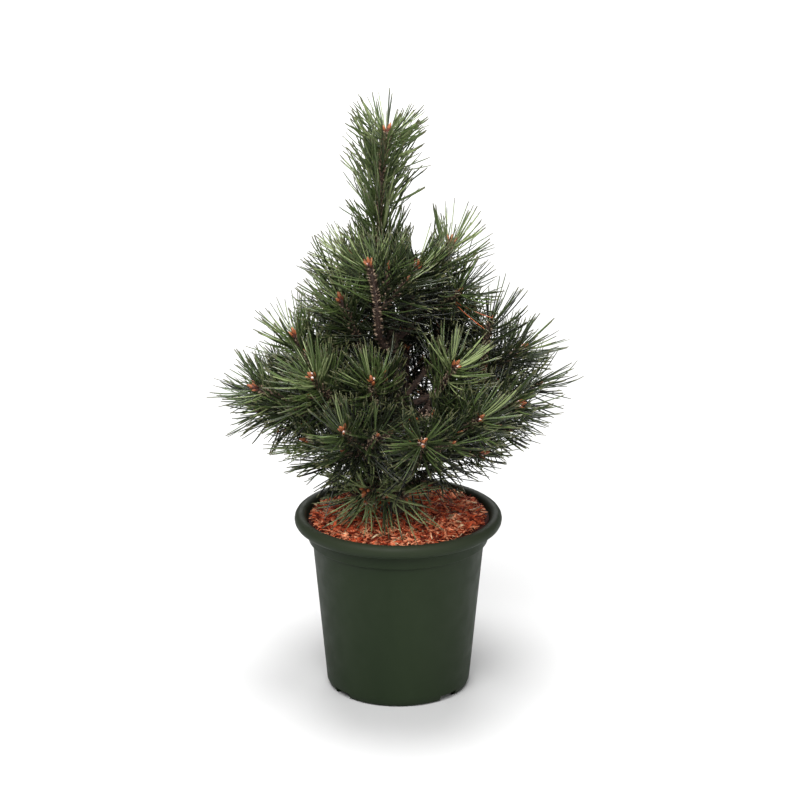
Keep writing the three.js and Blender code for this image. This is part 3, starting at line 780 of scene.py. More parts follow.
# %% Grow the boughs and their stems
BOUGH_RADII = (4.1, 2.9)
STEM_RADII = (2.9, 2.3)
TRUNK_RADII = (8.6, 2.2)
TRUNK_TAPER = 0.9  # under 1, it is thinner halfway up than a straight cone
TRUNK_FLARE = 4.2
FLARE_HEIGHT = 22
FORK_AT = 0.3
FORK_BARE = 0.12  # the least share of a fork that bears no needles
RISE = 24  # how steeply a bough leaves the trunk, in degrees
LEAST_BOUGH = 0.25  # share of its length that a bough keeps free of stem
STRAIGHT = 0.42  # share of its way that a shoot keeps its first direction
ARRIVING = 0.75  # share of its needled length over which it comes round to its aim
OVERLAP = 0.15  # how far a stem starts inside its bough's end


def shoot_curve(start, departure, shoot):
    """The curve of a shoot from where it starts to its bud, where it arrives along its aim."""
    bud = direction(shoot.turn, 0) * shoot.reach + np.array([0, 0, shoot.height])
    distance = np.linalg.norm(bud - start)
    back = min(shoot.needled * ARRIVING, distance / 2)
    arrival = direction(shoot.aim_turn, shoot.aim_tilt)
    return [start, start + departure * distance * STRAIGHT, bud - arrival * back, bud]


def grow(root, shoots):
    """A bough, and the stems that carry its foliage."""
    first = shoots[0]
    start = bezier(trunk_curve, [(root - GROUND) / TRUNK_HEIGHT])[0]
    whole = shoot_curve(start, direction(first.turn, RISE), first)
    length = length_of(whole)
    split = max(length * LEAST_BOUGH, length - first.needled)
    bough = Limb(whole, 0, split - OVERLAP, BOUGH_RADII)
    stems = [Limb(whole, split - 2 * OVERLAP, length, STEM_RADII)]
    for shoot in shoots[1:]:
        at, ahead, _, _ = stems[0].frame(FORK_AT)
        curve = shoot_curve(at, ahead, shoot)
        fork = Limb(curve, 0, length_of(curve), STEM_RADII)
        fork.needled_from = max(FORK_BARE, 1 - shoot.needled / fork.length)
        stems.append(fork)
    return bough, stems


trunk = Limb(trunk_curve, 0, length_of(trunk_curve), TRUNK_RADII)
flare = TRUNK_FLARE * np.maximum(0, 1 - trunk.share * TRUNK_HEIGHT / FLARE_HEIGHT) ** 2
trunk.radius = TRUNK_RADII[0] + (TRUNK_RADII[1] - TRUNK_RADII[0]) * trunk.share**TRUNK_TAPER + flare
growth = {name: grow(root, [Shoot(*shoot) for shoot in shoots]) for name, (root, shoots) in BOUGHS.items()}
boughs = [bough for bough, _ in growth.values()]
print("The boughs are", round(sum(bough.length for bough in boughs)), "mm long in all")

# %% Twigs, by chance where there is room
TWIG_LENGTH = 42
FINE_TWIG = 0.76  # of a first twig's length
TWIG_ROUNDS = {  # length, opening in degrees, radii at the root and tip, room that each needs, and seed
    "twigs": (TWIG_LENGTH, 50, (2.2, 1.7), 23, 500),
    "finer twigs": (TWIG_LENGTH * FINE_TWIG, 38, (1.8, 1.4), 12, 900),
}
TWIG_LIFT = 10
TWIG_TRIES = 8
TWIG_STEP = 50  # degrees round the stem from one try to the next
TWIG_BARE = 0.15  # share of a twig that bears no needles
FORKS_FROM = 0.12  # a twig leaves its stem from this share of its length on
FORKS_OVER = 0.48
OVER_BARK = 1.6  # how far the bark's lumps stand above its middle height


def distance_to(limbs, point):
    return min(np.linalg.norm(limb.at - point, axis=1).min() for limb in limbs)


def above_pot(points, room):
    """Which points are above the bark and clear of the pot's rim."""
    distance = np.linalg.norm(points[..., :2], axis=-1)
    outside = (distance > RIM_RADIUS + room) | (points[..., 2] > POT_HEIGHT + room)
    inside = (distance < BARK_REACH - room) & (points[..., 2] > bark_height(points) + OVER_BARK + room)
    return outside | inside


def add_twigs(stems, others, first, size, opening, radii, room, number):
    """Twigs fork from stems, inside the reach and under the height of the mass's first bud."""
    grown = []
    for stem in stems:
        start = number() * 360
        for attempt in range(TWIG_TRIES):
            at, ahead, side, up = stem.frame(FORKS_FROM + FORKS_OVER * number())
            turn = math.radians(start + TWIG_STEP * attempt)
            out = side * math.cos(turn) + up * math.sin(turn)
            aim = ahead * math.cos(math.radians(opening)) + out * math.sin(math.radians(opening))
            middle = at + aim * size / 2
            tip = at + aim * size + np.array([0, 0, TWIG_LIFT])
            inside = np.hypot(*tip[:2]) < first.reach and tip[2] < first.height and above_pot(tip, room)
            apart = distance_to(others, tip) > room and distance_to(others, middle) > room / 2
            if inside and apart and distance_to(stems + grown, tip) > room:
                curve = [at, middle, tip]
                twig = Limb(curve, 0, length_of(curve), radii)
                twig.needled_from = TWIG_BARE
                grown.append(twig)
                break
    return grown


def twig_round(size, opening, radii, room, seed):
    """Every mass gets its twigs of one kind."""
    count = 0
    for index, (name, (_, shoots)) in enumerate(BOUGHS.items()):
        other_stems = [stem for key, group in stems_of.items() if key != name for stem in group]
        others = [trunk, *boughs, *other_stems]
        number = seeded(seed + index)
        grown = add_twigs(stems_of[name], others, Shoot(*shoots[0]), size, opening, radii, room, number)
        stems_of[name] += grown
        count += len(grown)
    return count


stems_of = {name: list(stems) for name, (_, stems) in growth.items()}
for kind, settings in TWIG_ROUNDS.items():
    print(twig_round(*settings), kind)

# %% [markdown]
# ## Bark on the trunk and boughs
# Young pine bark is a lattice of raised needle bases on the stems, which cracks into small grey-brown
# scales on the older wood. Bump alone would leave the outline smooth, so the relief is in the mesh. A grid
# is rolled into a tube round each limb's rings, and each vertex is pushed out or in: by the spiral lattice
# on stems, and by cracked cells on the trunk.

# %% Roll tubes round the limbs
LATTICE_ROWS = (5, 3)  # how many spirals of needle bases turn one way and the other
LATTICE_TWIST = 1.9  # radians a millimetre
CRACK_DEPTH = 0.9
CRACK_CELL = 5.5
CRACK_STRETCH = 0.5  # under 1, the cells are longer along the trunk than across it
CRACK_STEEPNESS = 3.2
CRACK_FLOOR = -0.6  # the share of the depth that the bottom of a crack lies under the limb's own radius
TRUNK_SKIN = 6  # the cells are read this far from the trunk's axis
TRUNK_SIDES = 36
BOUGH_SIDES = 16
BOUGH_BASES = 0.45  # how high the needle bases stand


def bases(height):
    """The relief of needle bases: a lattice of low bumps in two crossing spirals."""

    def relief(limb, turn, _):
        along = (limb.share * limb.length)[:, None]
        there = np.cos(LATTICE_ROWS[0] * turn + LATTICE_TWIST * along)
        back = np.cos(LATTICE_ROWS[1] * turn - LATTICE_TWIST * along)
        return height * (0.5 * (there + back))

    return relief


def cracks(limb, _, out):
    """The relief of scales of bark: cells parted by cracks."""
    heights = np.empty(out.shape[:2])
    for ring, side in np.ndindex(heights.shape):
        place = limb.at[ring] + out[ring, side] * TRUNK_SKIN
        stretched = Vector((place[0], place[1], place[2] * CRACK_STRETCH)) / CRACK_CELL
        near, next_near = noise.voronoi(stretched)[0][:2]
        heights[ring, side] = min(1.0, CRACK_STEEPNESS * (next_near - near)) + CRACK_FLOOR
    return CRACK_DEPTH * heights


def tube_points(limb, sides, relief):
    """A limb's ring corners: `relief` gives how far each stands out past the limb's radius."""
    turn = np.linspace(0, 2 * np.pi, sides, endpoint=False)[None, :]
    out = limb.side[:, None] * np.cos(turn)[..., None] - limb.up[:, None] * np.sin(turn)[..., None]
    return limb.at[:, None] + out * (limb.radius[:, None] + relief(limb, turn, out))[..., None]


def tubes(name, limbs, sides, relief):
    """One joined mesh of closed tubes, each with its own number of rings."""
    points = []
    quads = []
    triangles = []
    start = 0
    for limb in limbs:
        shape = tube_points(limb, sides, relief).reshape(-1, 3)
        faces = tube_faces(len(limb.at), sides)
        quads += [tuple(corner + start for corner in face) for face in faces[0]]
        triangles += [tuple(corner + start for corner in face) for face in faces[1]]
        points.append(shape)
        start += len(shape)
    return joined(name, np.concatenate(points)[None], quads, triangles, smooth=True)


def bark_on(name, dark, light, roughness):
    finish = Finish(name, roughness)
    mottle = finish.cloud(330, detail=7)
    finish.colour(finish.ramp(mottle, (0.33, dark), (0.66, light)))
    finish.relief(finish.cloud(1300, detail=5), 0.0008, strength=0.8)
    return finish.material


trunk_wood = tubes("trunk_wood", [trunk], TRUNK_SIDES, cracks)
bough_wood = tubes("bough_wood", boughs, BOUGH_SIDES, bases(BOUGH_BASES))
keep(trunk_wood, [bark_on("old_bark", (34, 27, 22), (88, 73, 60), 0.88)], "wood", "trunk")
bough_bark = bark_on("bough_bark", (32, 22, 18), (72, 52, 41), 0.85)
keep(bough_wood, [bough_bark], "wood", *("bough_" + name for name in BOUGHS))

# %% [markdown]
# ## Stems and twigs
# The year's stems are dark red-brown, and needle bases stand on them like small steps. They are the same
# rolled tubes, thinner and with a stronger lattice.

# %% Stems and twigs
STEM_SIDES = 10
STEM_BASES = 0.5
stems = [stem for group in stems_of.values() for stem in group]
masses = ["foliage_" + name for name in BOUGHS] + ["foliage_leader"]
stem_wood = tubes("stems_and_twigs", stems, STEM_SIDES, bases(STEM_BASES))
keep(stem_wood, [bark_on("stem_bark", (33, 22, 17), (68, 48, 37), 0.7)], "wood", *masses)

# %% [markdown]
# ## Needles
# Mugo pine bears its needles in pairs, each pair from one papery sheath, in a spiral all round the stem. A
# needle is half round, flat where it faces its twin, about 50 mm long and 1.7 mm wide, and it bends a
# little towards the light. Hair particles would be quick, but their shapes are lost on export, so each
# needle is a real mesh: six rings of four corners and a point. All are computed at once in arrays and
# joined by tint. The tints are shaded and lit copies of one green, dealt to each pair as painted light and
# shade: brighter where its spray stands far out, high up or on the sunny left, darker as painted shade at
# the spray's foot among its older needles, and a little by chance.

# %% Where the sheaths stand
PAIRS_PER_MM = 0.8
SPIRAL = math.radians(137.5)
SPIRAL_CHANCE = 0.25  # radians
OPENING_CHANCE = 11  # degrees
ROOTED_AT = 0.9  # share of the limb's radius
CROWDING = 0.68  # under 1, the needles crowd towards the bud
CLOSING = 1.6  # over 1, the needles close in only near the bud
MAIN_TUFT = 1.2  # how crowded the needles are on each kind of limb
TWIG_TUFT = 0.85
BOUGH_TUFT = 0.6
LEADER_TUFT = 1.65
LOW_TUFT = 0.74  # the bark shows between these needles
SPARSE_TUFT = 0.85  # on a dark spray beside the gap at the leader
LEADER_LENGTH = 150
LEADER_RADII = (4.2, 2.8)
LEADER_OPENING = (37, 58)  # wide open to its bud
BOUGH_BARE = 0.5  # only the last part of a bough keeps its older needles


def leader_limb():
    """The trunk's top, which bears needles like a stem."""
    whole = length_of(trunk_curve)
    leader = Limb(trunk_curve, whole - LEADER_LENGTH, whole, LEADER_RADII)
    leader.tuft = LEADER_TUFT
    leader.opening = LEADER_OPENING
    return leader


leader = leader_limb()
main_stems = {name: group[0] for name, group in stems_of.items()}
low_spray = stems_of["low_front"]
for stem in stems:
    stem.tuft = TWIG_TUFT
for stem in main_stems.values():
    stem.tuft = MAIN_TUFT
for stem in low_spray:
    stem.tuft = LOW_TUFT
main_stems["top_right"].tuft = SPARSE_TUFT
for bough in boughs:
    bough.needled_from = BOUGH_BARE
    bough.tuft = BOUGH_TUFT
bearing = [*stems, leader, *boughs]


def spiral_places(limb, first, per_mm, dice):
    """Places in a spiral round a limb, from a share of its length to its end: the place, its way out and the
    limb's way ahead, and how far along the stretch each is."""
    count = max(4, round(limb.length * (1 - first) * per_mm))
    share = ((np.arange(count) + dice.uniform(0.1, 0.9, count)) / count) ** CROWDING
    place = (first + share * (1 - first)) * (len(limb.at) - 1)
    row = np.minimum(len(limb.at) - 2, place.astype(int))
    at = limb.at[row] + (limb.at[row + 1] - limb.at[row]) * (place - row)[:, None]
    turn = SPIRAL * np.arange(count) + dice.uniform(0, 6) + dice.normal(0, SPIRAL_CHANCE, count)
    out = limb.side[row] * np.cos(turn)[:, None] + limb.up[row] * np.sin(turn)[:, None]
    return at + out * (limb.radius[row] * ROOTED_AT)[:, None], out, limb.ahead[row], share


def pair_places(limb, dice):
    """The root and direction of each pair of needles on a limb, the limb's way ahead, and the share."""
    at, out, ahead, share = spiral_places(limb, limb.needled_from, PAIRS_PER_MM * limb.tuft, dice)
    wide, narrow = limb.opening
    strays = dice.normal(0, OPENING_CHANCE, len(share))
    opening = np.radians(wide + (narrow - wide) * share**CLOSING + strays)
    aim = ahead * np.cos(opening)[:, None] + out * np.sin(opening)[:, None]
    return at, aim, ahead, share


def all_pairs():
    dice = np.random.default_rng(17)
    parts = [pair_places(limb, dice) for limb in bearing]
    owner = np.concatenate([np.full(len(part[0]), index) for index, part in enumerate(parts)])
    return [np.concatenate([part[k] for part in parts]) for k in range(4)] + [owner]


roots, aims, ways, shares, owners = all_pairs()
print(len(roots), "pairs of needles have a place")

# %% Plan the needles
NEEDLE_LENGTH = 52
LENGTH_SHARES = (0.84, 1.12)
TOP_SHORTENING = 0.16  # the needles next to a bud are this much shorter
SHEATH_LENGTH = 4.5
TWIN_APART = 0.35  # from the middle of the pair
TWIN_SPREAD = (2.5, 8)  # degrees
TWIN_LENGTHS = (0.96, 1.04)
TWIN_CURLS = (0.8, 1.2)
TWIN_STRAYS = 0.12
CURLS = (0.08, 0.46)
BENT_SHARE = 0.03
BENT_CURLS = (0.7, 1.3)
BEND_AHEAD = 0.7  # needles bend towards the bud, and a little upwards
BEND_UP = 0.3
BEND_STRAYS = 0.18


def needle_paths(dice):
    """For each of the two needles of each pair: root, direction, bend, length and the side that bulges."""
    count = len(roots)
    across = unit(np.cross(aims, dice.normal(0, 1, (count, 3))))
    spread = np.radians(dice.uniform(*TWIN_SPREAD, count))[:, None]
    length = NEEDLE_LENGTH * dice.uniform(*LENGTH_SHARES, count) * (1 - TOP_SHORTENING * shares**4)
    lift = BEND_AHEAD * ways + np.array([0, 0, BEND_UP]) + dice.normal(0, BEND_STRAYS, (count, 3))
    lift -= aims * (lift * aims).sum(1, keepdims=True)
    bent = dice.uniform(0, 1, count) < BENT_SHARE
    curl = np.where(bent, dice.uniform(*BENT_CURLS, count), dice.uniform(*CURLS, count))
    twins = []
    for way in (-1, 1):
        root = roots + aims * SHEATH_LENGTH * 0.5 + across * way * TWIN_APART
        aim = unit(aims * np.cos(spread) + across * np.sin(spread) * way)
        bent_to = unit(lift + dice.normal(0, TWIN_STRAYS, (count, 3)))
        bow = bent_to * (curl * dice.uniform(*TWIN_CURLS, count))[:, None]
        twins.append((root, aim, bow, length * dice.uniform(*TWIN_LENGTHS, count), across * way))
    return [np.concatenate([twin[k] for twin in twins]) for k in range(5)]


def path_points(root, aim, bow, length, share):
    return root + (aim * share + bow * (0.5 * share * share)) * length[:, None]


needle_root, needle_aim, needle_bow, needle_length, needle_bulge = needle_paths(np.random.default_rng(23))
needle_owner = np.concatenate([owners, owners])
needle_pair = np.tile(np.arange(len(owners)), 2)
print(len(needle_root), "needles are planned")

# %% Leave out the needles that would pass through wood, bark or pot
POT_ROOM = 0.8
WOOD_ROOM = 3.2
LOOKED_AT = (0.3, 0.5, 0.7, 0.85, 1.0)  # the shares of a needle's length that are looked at


def clear_needles():
    """Which needles keep their distance from the pot, the bark and every limb but their own."""
    limbs = [trunk, *boughs, *stems]
    posts = [(point, index) for index, limb in enumerate(limbs) for point in limb.at[::2]]
    tree = KDTree(len(posts))
    for number, (point, _) in enumerate(posts):
        tree.insert(point, number)
    tree.balance()
    numbers = {id(limb): index for index, limb in enumerate(limbs)}
    own = [numbers.get(id(limb), 0) for limb in bearing]  # the leader is the top of the trunk, number 0
    clear = np.ones(len(needle_root), bool)
    for share in LOOKED_AT:
        points = path_points(needle_root, needle_aim, needle_bow, needle_length, share)
        clear &= above_pot(points, POT_ROOM)
        for index in np.flatnonzero(clear):
            mine = own[needle_owner[index]]
            _, _, distance = tree.find(points[index], filter=lambda number: posts[number][1] != mine)
            clear[index] = distance > WOOD_ROOM
    return clear


clear = clear_needles()
print(clear.sum(), "needles are clear of everything")

# %% Keep the crown's underside, its gaps and one bare stem
CROWN_WAIST = 102  # how far from the axis needles may hang lowest
CROWN_FOOT = 250
CROWN_SLOPE = 1.6
CROWN_LEAN = 0.09  # it hangs wider on the left
CROWN_FRINGE = (-8, 16)  # how far single needles may hang past the underside
SKY_GAPS = [  # as seen from the front: two ends, a radius, and how near the needles are that it takes away
    ((28, 518), (21, 470), 6.5, -300),  # sky beside the leader
    ((16, 362), (26, 300), 7.5, 40),  # a view into the crown
]
STEM_PARTING = 5.5
BUD_PARTING = 4.2
BUD_MIDDLE = 5  # the middle of a bud is this far past its stem's end
BARE_UP_TO = 0.93  # of the bare stem's length
FRONT_HALF = 20  # buds farther back than this face away from the front
bare_stem = main_stems["top_front"]
nestled = [main_stems["top_fork"], main_stems["top_inner"]]  # their buds stay among the needles


def under_crown(points, slack):
    """Which points hang below the crown's underside, a cone that opens upwards from the pot."""
    rise = np.maximum(0, points[..., 2] - CROWN_FOOT)
    reach = CROWN_WAIST + CROWN_SLOPE * rise - CROWN_LEAN * points[..., 0] + slack
    return np.linalg.norm(points[..., :2], axis=-1) > reach


def from_the_front(points):
    """How far points are to the right, up and near in a view from the front."""
    upward = np.array([0, math.sin(LOOK_DOWN), math.cos(LOOK_DOWN)])
    nearer = np.array([0, -math.cos(LOOK_DOWN), math.sin(LOOK_DOWN)])
    return np.stack([points[..., 0], points @ upward, points @ nearer], -1)


def in_gap(seen, start, end, radius, nearness):
    way = np.subtract(end, start)
    along = np.clip(((seen[:, :2] - start) @ way) / (way @ way), 0, 1)
    apart = np.linalg.norm(seen[:, :2] - start - along[:, None] * way, axis=1)
    return (apart < radius) & (seen[:, 2] > nearness)


def in_the_way():
    """Which needles hang too low, close a gap, or hide the bare stem or a bud that faces the front."""
    slack = np.random.default_rng(29).uniform(*CROWN_FRINGE, len(needle_root))
    tips = [limb for limb in [*main_stems.values(), leader] if limb not in nestled]
    shown = [limb.at[-1:] + limb.ahead[-1:] * BUD_MIDDLE for limb in tips if limb.at[-1, 1] < FRONT_HALF]
    bare = bare_stem.at[bare_stem.share < BARE_UP_TO]
    parting = np.concatenate([np.full(len(bare), STEM_PARTING), np.full(len(shown), BUD_PARTING)])
    kept_free = from_the_front(np.concatenate([bare, *shown]))
    hides = np.zeros(len(needle_root), bool)
    for share in np.linspace(0.1, 1, 10):
        points = path_points(needle_root, needle_aim, needle_bow, needle_length, share)
        seen = from_the_front(points)
        apart = np.linalg.norm(seen[:, None, :2] - kept_free[None, :, :2], axis=-1) / parting
        hides |= (apart.min(1) < 1) & (seen[:, 2] > kept_free[apart.argmin(1), 2])
        hides |= under_crown(points, slack)
        for gap in SKY_GAPS:
            hides |= in_gap(seen, *gap)
    return hides


clear &= ~in_the_way()
print(clear.sum(), "needles are left")

# %% Deal the tints
# the greens are shaded and lit copies of one needle green, from painted shade to painted light
TINTS = {  # as a screen shows them: from the heart of the crown outwards, and the dead ones
    "shade": (15, 19, 9),
    "deep": (25, 32, 14),
    "leaf": (41, 52, 25),
    "lit_green": (71, 86, 46),
    "bright": (118, 130, 86),
    "dead": (176, 92, 54),
}
DEAD = len(TINTS) - 1
OLDER_HALF = 0.5
DEAD_SHARE = 0.0036  # of the older half of the pairs
HEART_REACH = 30  # sprays are painted in shade up to this far out
BRIGHT_REACH = 110  # and brighten into painted light over this distance
HEART_HEIGHT = 320  # sprays are painted in shade up to this height
BRIGHT_HEIGHT = 130  # and brighten into painted light over this distance
TOPMOST = 1.3  # the most painted light that height gives a spray
SUNNY_REACH = 100  # how far left the sun has its full effect
# tints of painted light; the negative one, old, is painted shade on the boughs' needles deep in the crown
BRIGHTER_BY = {  # tints
    "anyway": 0.2, "far out": 0.8, "main": 0.8, "leader": 1.7, "low": 2.8, "sunny": 0.45, "old": -0.8,
}
SPRAY_CHANCE = 0.35
PAIR_CHANCE = 0.6
FOOT_DARKENING = 3.0  # how many tints darker a spray's foot is than its bud: painted shade on its oldest needles
# the same painted shade at the foot, weaker on the leader
LEADER_DARKENING = 0.4
EVEN_AT = 0.6  # the share of a spray's length where its needles have its own tint


def brightness(limb):
    """How many tints above the darkest a spray is: painted light and shade, from where it stands."""
    tip = limb.at[-1]
    far_out = np.clip((np.hypot(tip[0], tip[1]) - HEART_REACH) / BRIGHT_REACH, 0, 1)
    high_up = np.clip((tip[2] - HEART_HEIGHT) / BRIGHT_HEIGHT, 0, TOPMOST)
    tint = BRIGHTER_BY["anyway"] + (far_out * BRIGHTER_BY["far out"] + high_up)
    if limb in main_stems.values():
        tint += BRIGHTER_BY["main"]
    if limb is leader:
        tint += BRIGHTER_BY["leader"]
    if limb in low_spray:
        tint += BRIGHTER_BY["low"]
    tint += BRIGHTER_BY["sunny"] * np.clip(-tip[0] / SUNNY_REACH, -1, 1)
    # painted shade on the boughs' needles, deep inside the crown
    if limb in boughs:
        tint += BRIGHTER_BY["old"]
    return tint


def deal_tints():
    """A tint for each pair, round its spray's brightness, with painted shade towards the spray's foot. The
    oldest die here and there.
    """
    dice = np.random.default_rng(31)
    spray = np.array([brightness(limb) + dice.normal(0, SPRAY_CHANCE) for limb in bearing])
    darkening = np.where(owners == bearing.index(leader), LEADER_DARKENING, FOOT_DARKENING)
    # darkening lays painted shade on each spray's foot
    steps = spray[owners] + dice.normal(0, PAIR_CHANCE, len(owners)) + darkening * (shares - EVEN_AT)
    steps = np.clip(np.round(steps), 0, DEAD - 1).astype(int)
    steps[(shares < OLDER_HALF) & (dice.uniform(0, 1, len(owners)) < DEAD_SHARE)] = DEAD
    return steps


tints = deal_tints()[needle_pair]
print([int((clear & (tints == number)).sum()) for number in range(len(TINTS))], "needles of each tint")

# %% Make the needles' meshes
NEEDLE_WIDTH = 1.7
NEEDLE_BULGE = 0.85
RING_SHARES = (0, 0.13, 0.38, 0.64, 0.87, 0.975)
RING_WIDTHS = (0.7, 1, 1, 0.98, 0.88, 0.64)
SECTION = ((0.5, 0), (0, -0.12), (-0.5, 0), (0, 1))  # across and out: flat inside, and bulging outside
TIP_COLOUR = (74, 76, 48)


def needle_shapes(root, aim, bow, length, bulge):
    """The corners of needles: six rings of four corners, and a point."""
    shapes = np.empty((len(length), len(RING_SHARES) * len(SECTION) + 1, 3))
    for ring, (share, width) in enumerate(zip(RING_SHARES, RING_WIDTHS)):
        centre = path_points(root, aim, bow, length, share)
        ahead = unit(aim + bow * share)
        across = unit(np.cross(ahead, bulge))
        out = np.cross(across, ahead)
        for corner, (x, y) in enumerate(SECTION):
            offset = across * (x * NEEDLE_WIDTH * width) + out * (y * NEEDLE_BULGE * width)
            shapes[:, ring * len(SECTION) + corner] = centre + offset
    shapes[:, -1] = path_points(root, aim, bow, length, 1.0)
    return shapes


def needle_finish(name, colour):
    """A waxy green: nearly even, because colour on so fine a piece has to be plain."""
    finish = Finish("needle_" + name)
    finish.plain_colour(colour)
    finish.gloss(finish.cloud(500, detail=2), 0.26, 0.38)
    return finish.material


tip_finish = needle_finish("tip", TIP_COLOUR)


def needle_piece(name, needles, finish, slot, stands_for):
    """One joined piece of needles, whose last ring band and point have their own finish."""
    quads, triangles = tube_faces(len(RING_SHARES), len(SECTION), pointed=True)
    whole = len(quads) + len(triangles)
    tip_faces = [*range(len(quads) - len(SECTION), len(quads)), *range(whole - len(SECTION), whole)]
    piece = joined(name, needle_shapes(*needles), quads, triangles, smooth=True, marked=tip_faces)
    keep(piece, [finish, tip_finish], slot, *stands_for)


planned = (needle_root, needle_aim, needle_bow, needle_length, needle_bulge)
for number, (name, colour) in enumerate(TINTS.items()):
    chosen = np.flatnonzero(clear & (tints == number))
    needles = [part[chosen] for part in planned]
    needle_piece("needles_" + name, needles, needle_finish(name, colour), "foliage", masses)

# %% [markdown]
# ## Fallen needles
# Old needles drop in pairs and dry on the bark to a pale brown. They are the same shapes, laid flat.

# %% Fallen needles
FALLEN_PAIRS = 16
FALLEN_REACH = (34, 78)
FALLEN_LENGTHS = (26, 36)
FALLEN_HEIGHT = 3.4  # over the bark's middle height
FALLEN_OPENING = (0.03, 0.12)  # radians from the middle of the pair
FALLEN_BOWS = (0.05, 0.2)
FALLEN_SLOPE = 0.02


def fallen_needles():
    dice = np.random.default_rng(61)
    bearings = dice.uniform(0, 2 * np.pi, FALLEN_PAIRS)
    middle = level_places(dice.uniform(*FALLEN_REACH, FALLEN_PAIRS), bearings)
    heading = dice.uniform(0, 2 * np.pi, FALLEN_PAIRS)
    upward = np.tile((0.0, 0.0, 1.0), (FALLEN_PAIRS, 1))
    twins = []
    for way in (-1, 1):
        turn = heading + way * dice.uniform(*FALLEN_OPENING, FALLEN_PAIRS)
        aim = np.stack([np.cos(turn), np.sin(turn), np.full(FALLEN_PAIRS, FALLEN_SLOPE)], -1)
        length = dice.uniform(*FALLEN_LENGTHS, FALLEN_PAIRS)
        root = middle - aim * (length / 2)[:, None]
        root[:, 2] = bark_height(middle) + FALLEN_HEIGHT
        bow = leftwards(turn) * (way * dice.uniform(*FALLEN_BOWS, FALLEN_PAIRS))[:, None]
        twins.append((root, aim, bow, length, upward))
    return [np.concatenate([twin[k] for twin in twins]) for k in range(5)]


dry_needle = needle_finish("fallen", (170, 116, 76))
needle_piece("fallen_needles", fallen_needles(), dry_needle, "bark_mulch", ["bark_mulch"])

# %% [markdown]
# ## Sheaths
# The papery sheath at the foot of each pair is grey-brown and stays on for years. It is a small tube of
# three rings.

# %% Sheaths
SHEATH_WIDTHS = (1.0, 1.15, 0.8)
SHEATH_SIDES = 4
SHEATH_SUNK = 0.15  # share of its length that is sunk into the bark


def sheath_shapes(chosen):
    across = unit(np.cross(aims[chosen], (0.3, 0.5, 0.8)))
    out = np.cross(aims[chosen], across)
    shapes = np.empty((len(chosen), len(SHEATH_WIDTHS) * SHEATH_SIDES, 3))
    for ring, width in enumerate(SHEATH_WIDTHS):
        centre = roots[chosen] + aims[chosen] * (SHEATH_LENGTH * (ring / 2 - SHEATH_SUNK))
        for side in range(SHEATH_SIDES):
            turn = 2 * math.pi / SHEATH_SIDES * side
            offset = (across * math.cos(turn) + out * math.sin(turn)) * width
            shapes[:, ring * SHEATH_SIDES + side] = centre + offset
    return shapes


with_needles = np.flatnonzero(clear[:len(roots)] | clear[len(roots):])
sheath_faces = tube_faces(len(SHEATH_WIDTHS), SHEATH_SIDES)
sheaths = joined("needle_sheaths", sheath_shapes(with_needles), *sheath_faces, smooth=True)
keep(sheaths, [bark_on("sheath_paper", (96, 76, 60), (150, 130, 108), 0.8)], "foliage", *masses)

# %% [markdown]
# ## Scales on the stems
# Where needles have dropped, their bases and scraps of papery sheath stay, so old stems look rough, dark
# and flecked with white. Each scrap is a small pointed tube that stands off the stem. The bare stem in
# front has most of them.

# %% Scales on the stems
SCALE_SWELLS = (0.8, 1.0, 0.7)  # share of the width at each ring
SCALE_RINGS = len(SCALE_SWELLS)
SCALE_SIDES = 3
SCALE_LENGTHS = (2.2, 4.6)
SCALE_WIDTHS = (0.45, 0.85)
SCALE_LEANS = (25, 70)  # degrees
SCALE_FLATNESS = 0.5
SCALES_PER_MM = {"bare stem": 2.4, "leader": 0.9, "stem": 0.35, "bough": 0.8}
SCALED_FROM = 0.45  # share of a bough's length
DARK_SCALES = 0.78  # share of the scales
SCALE_TONES = {"dark": (60, 42, 32), "pale": (190, 166, 148)}
SCALE_SHADE = 0.8  # share of a scale's brightness where it is darkest


def scale_shapes(dice):
    limbs = [(bare_stem, 0.0, SCALES_PER_MM["bare stem"]), (leader, 0.0, SCALES_PER_MM["leader"])]
    limbs += [(stem, 0.0, SCALES_PER_MM["stem"]) for stem in stems if stem is not bare_stem]
    limbs += [(bough, SCALED_FROM, SCALES_PER_MM["bough"]) for bough in boughs]
    parts = [spiral_places(limb, first, per_mm, dice) for limb, first, per_mm in limbs]
    at, out, ahead = [np.concatenate([part[k] for part in parts]) for k in range(3)]
    lean = np.radians(dice.uniform(*SCALE_LEANS, len(at)))[:, None]
    aim = ahead * np.cos(lean) + out * np.sin(lean)
    across = unit(np.cross(aim, out + 0.01))
    upward = np.cross(aim, across)
    length = dice.uniform(*SCALE_LENGTHS, len(at))[:, None]
    width = dice.uniform(*SCALE_WIDTHS, len(at))[:, None]
    shapes = np.empty((len(at), SCALE_RINGS * SCALE_SIDES + 1, 3))
    for ring, swell in enumerate(SCALE_SWELLS):
        for side in range(SCALE_SIDES):
            turn = 2 * math.pi * side / SCALE_SIDES
            offset = across * math.cos(turn) + upward * (SCALE_FLATNESS * math.sin(turn))
            centre = at + aim * length * ring / SCALE_RINGS
            shapes[:, ring * SCALE_SIDES + side] = centre + offset * width * swell
    shapes[:, -1] = at + aim * length
    return shapes


scale_dice = np.random.default_rng(53)
scales = scale_shapes(scale_dice)
dark_ones = scale_dice.uniform(0, 1, len(scales)) < DARK_SCALES
scale_faces = tube_faces(SCALE_RINGS, SCALE_SIDES, pointed=True)
for tone, chosen in (("dark", dark_ones), ("pale", ~dark_ones)):
    piece = joined("stem_scales_" + tone, scales[chosen], *scale_faces, smooth=False)
    light = SCALE_TONES[tone]
    dark = [value * SCALE_SHADE for value in light]
    keep(piece, [bark_on("scale_" + tone, dark, light, 0.75)], "wood", *masses)

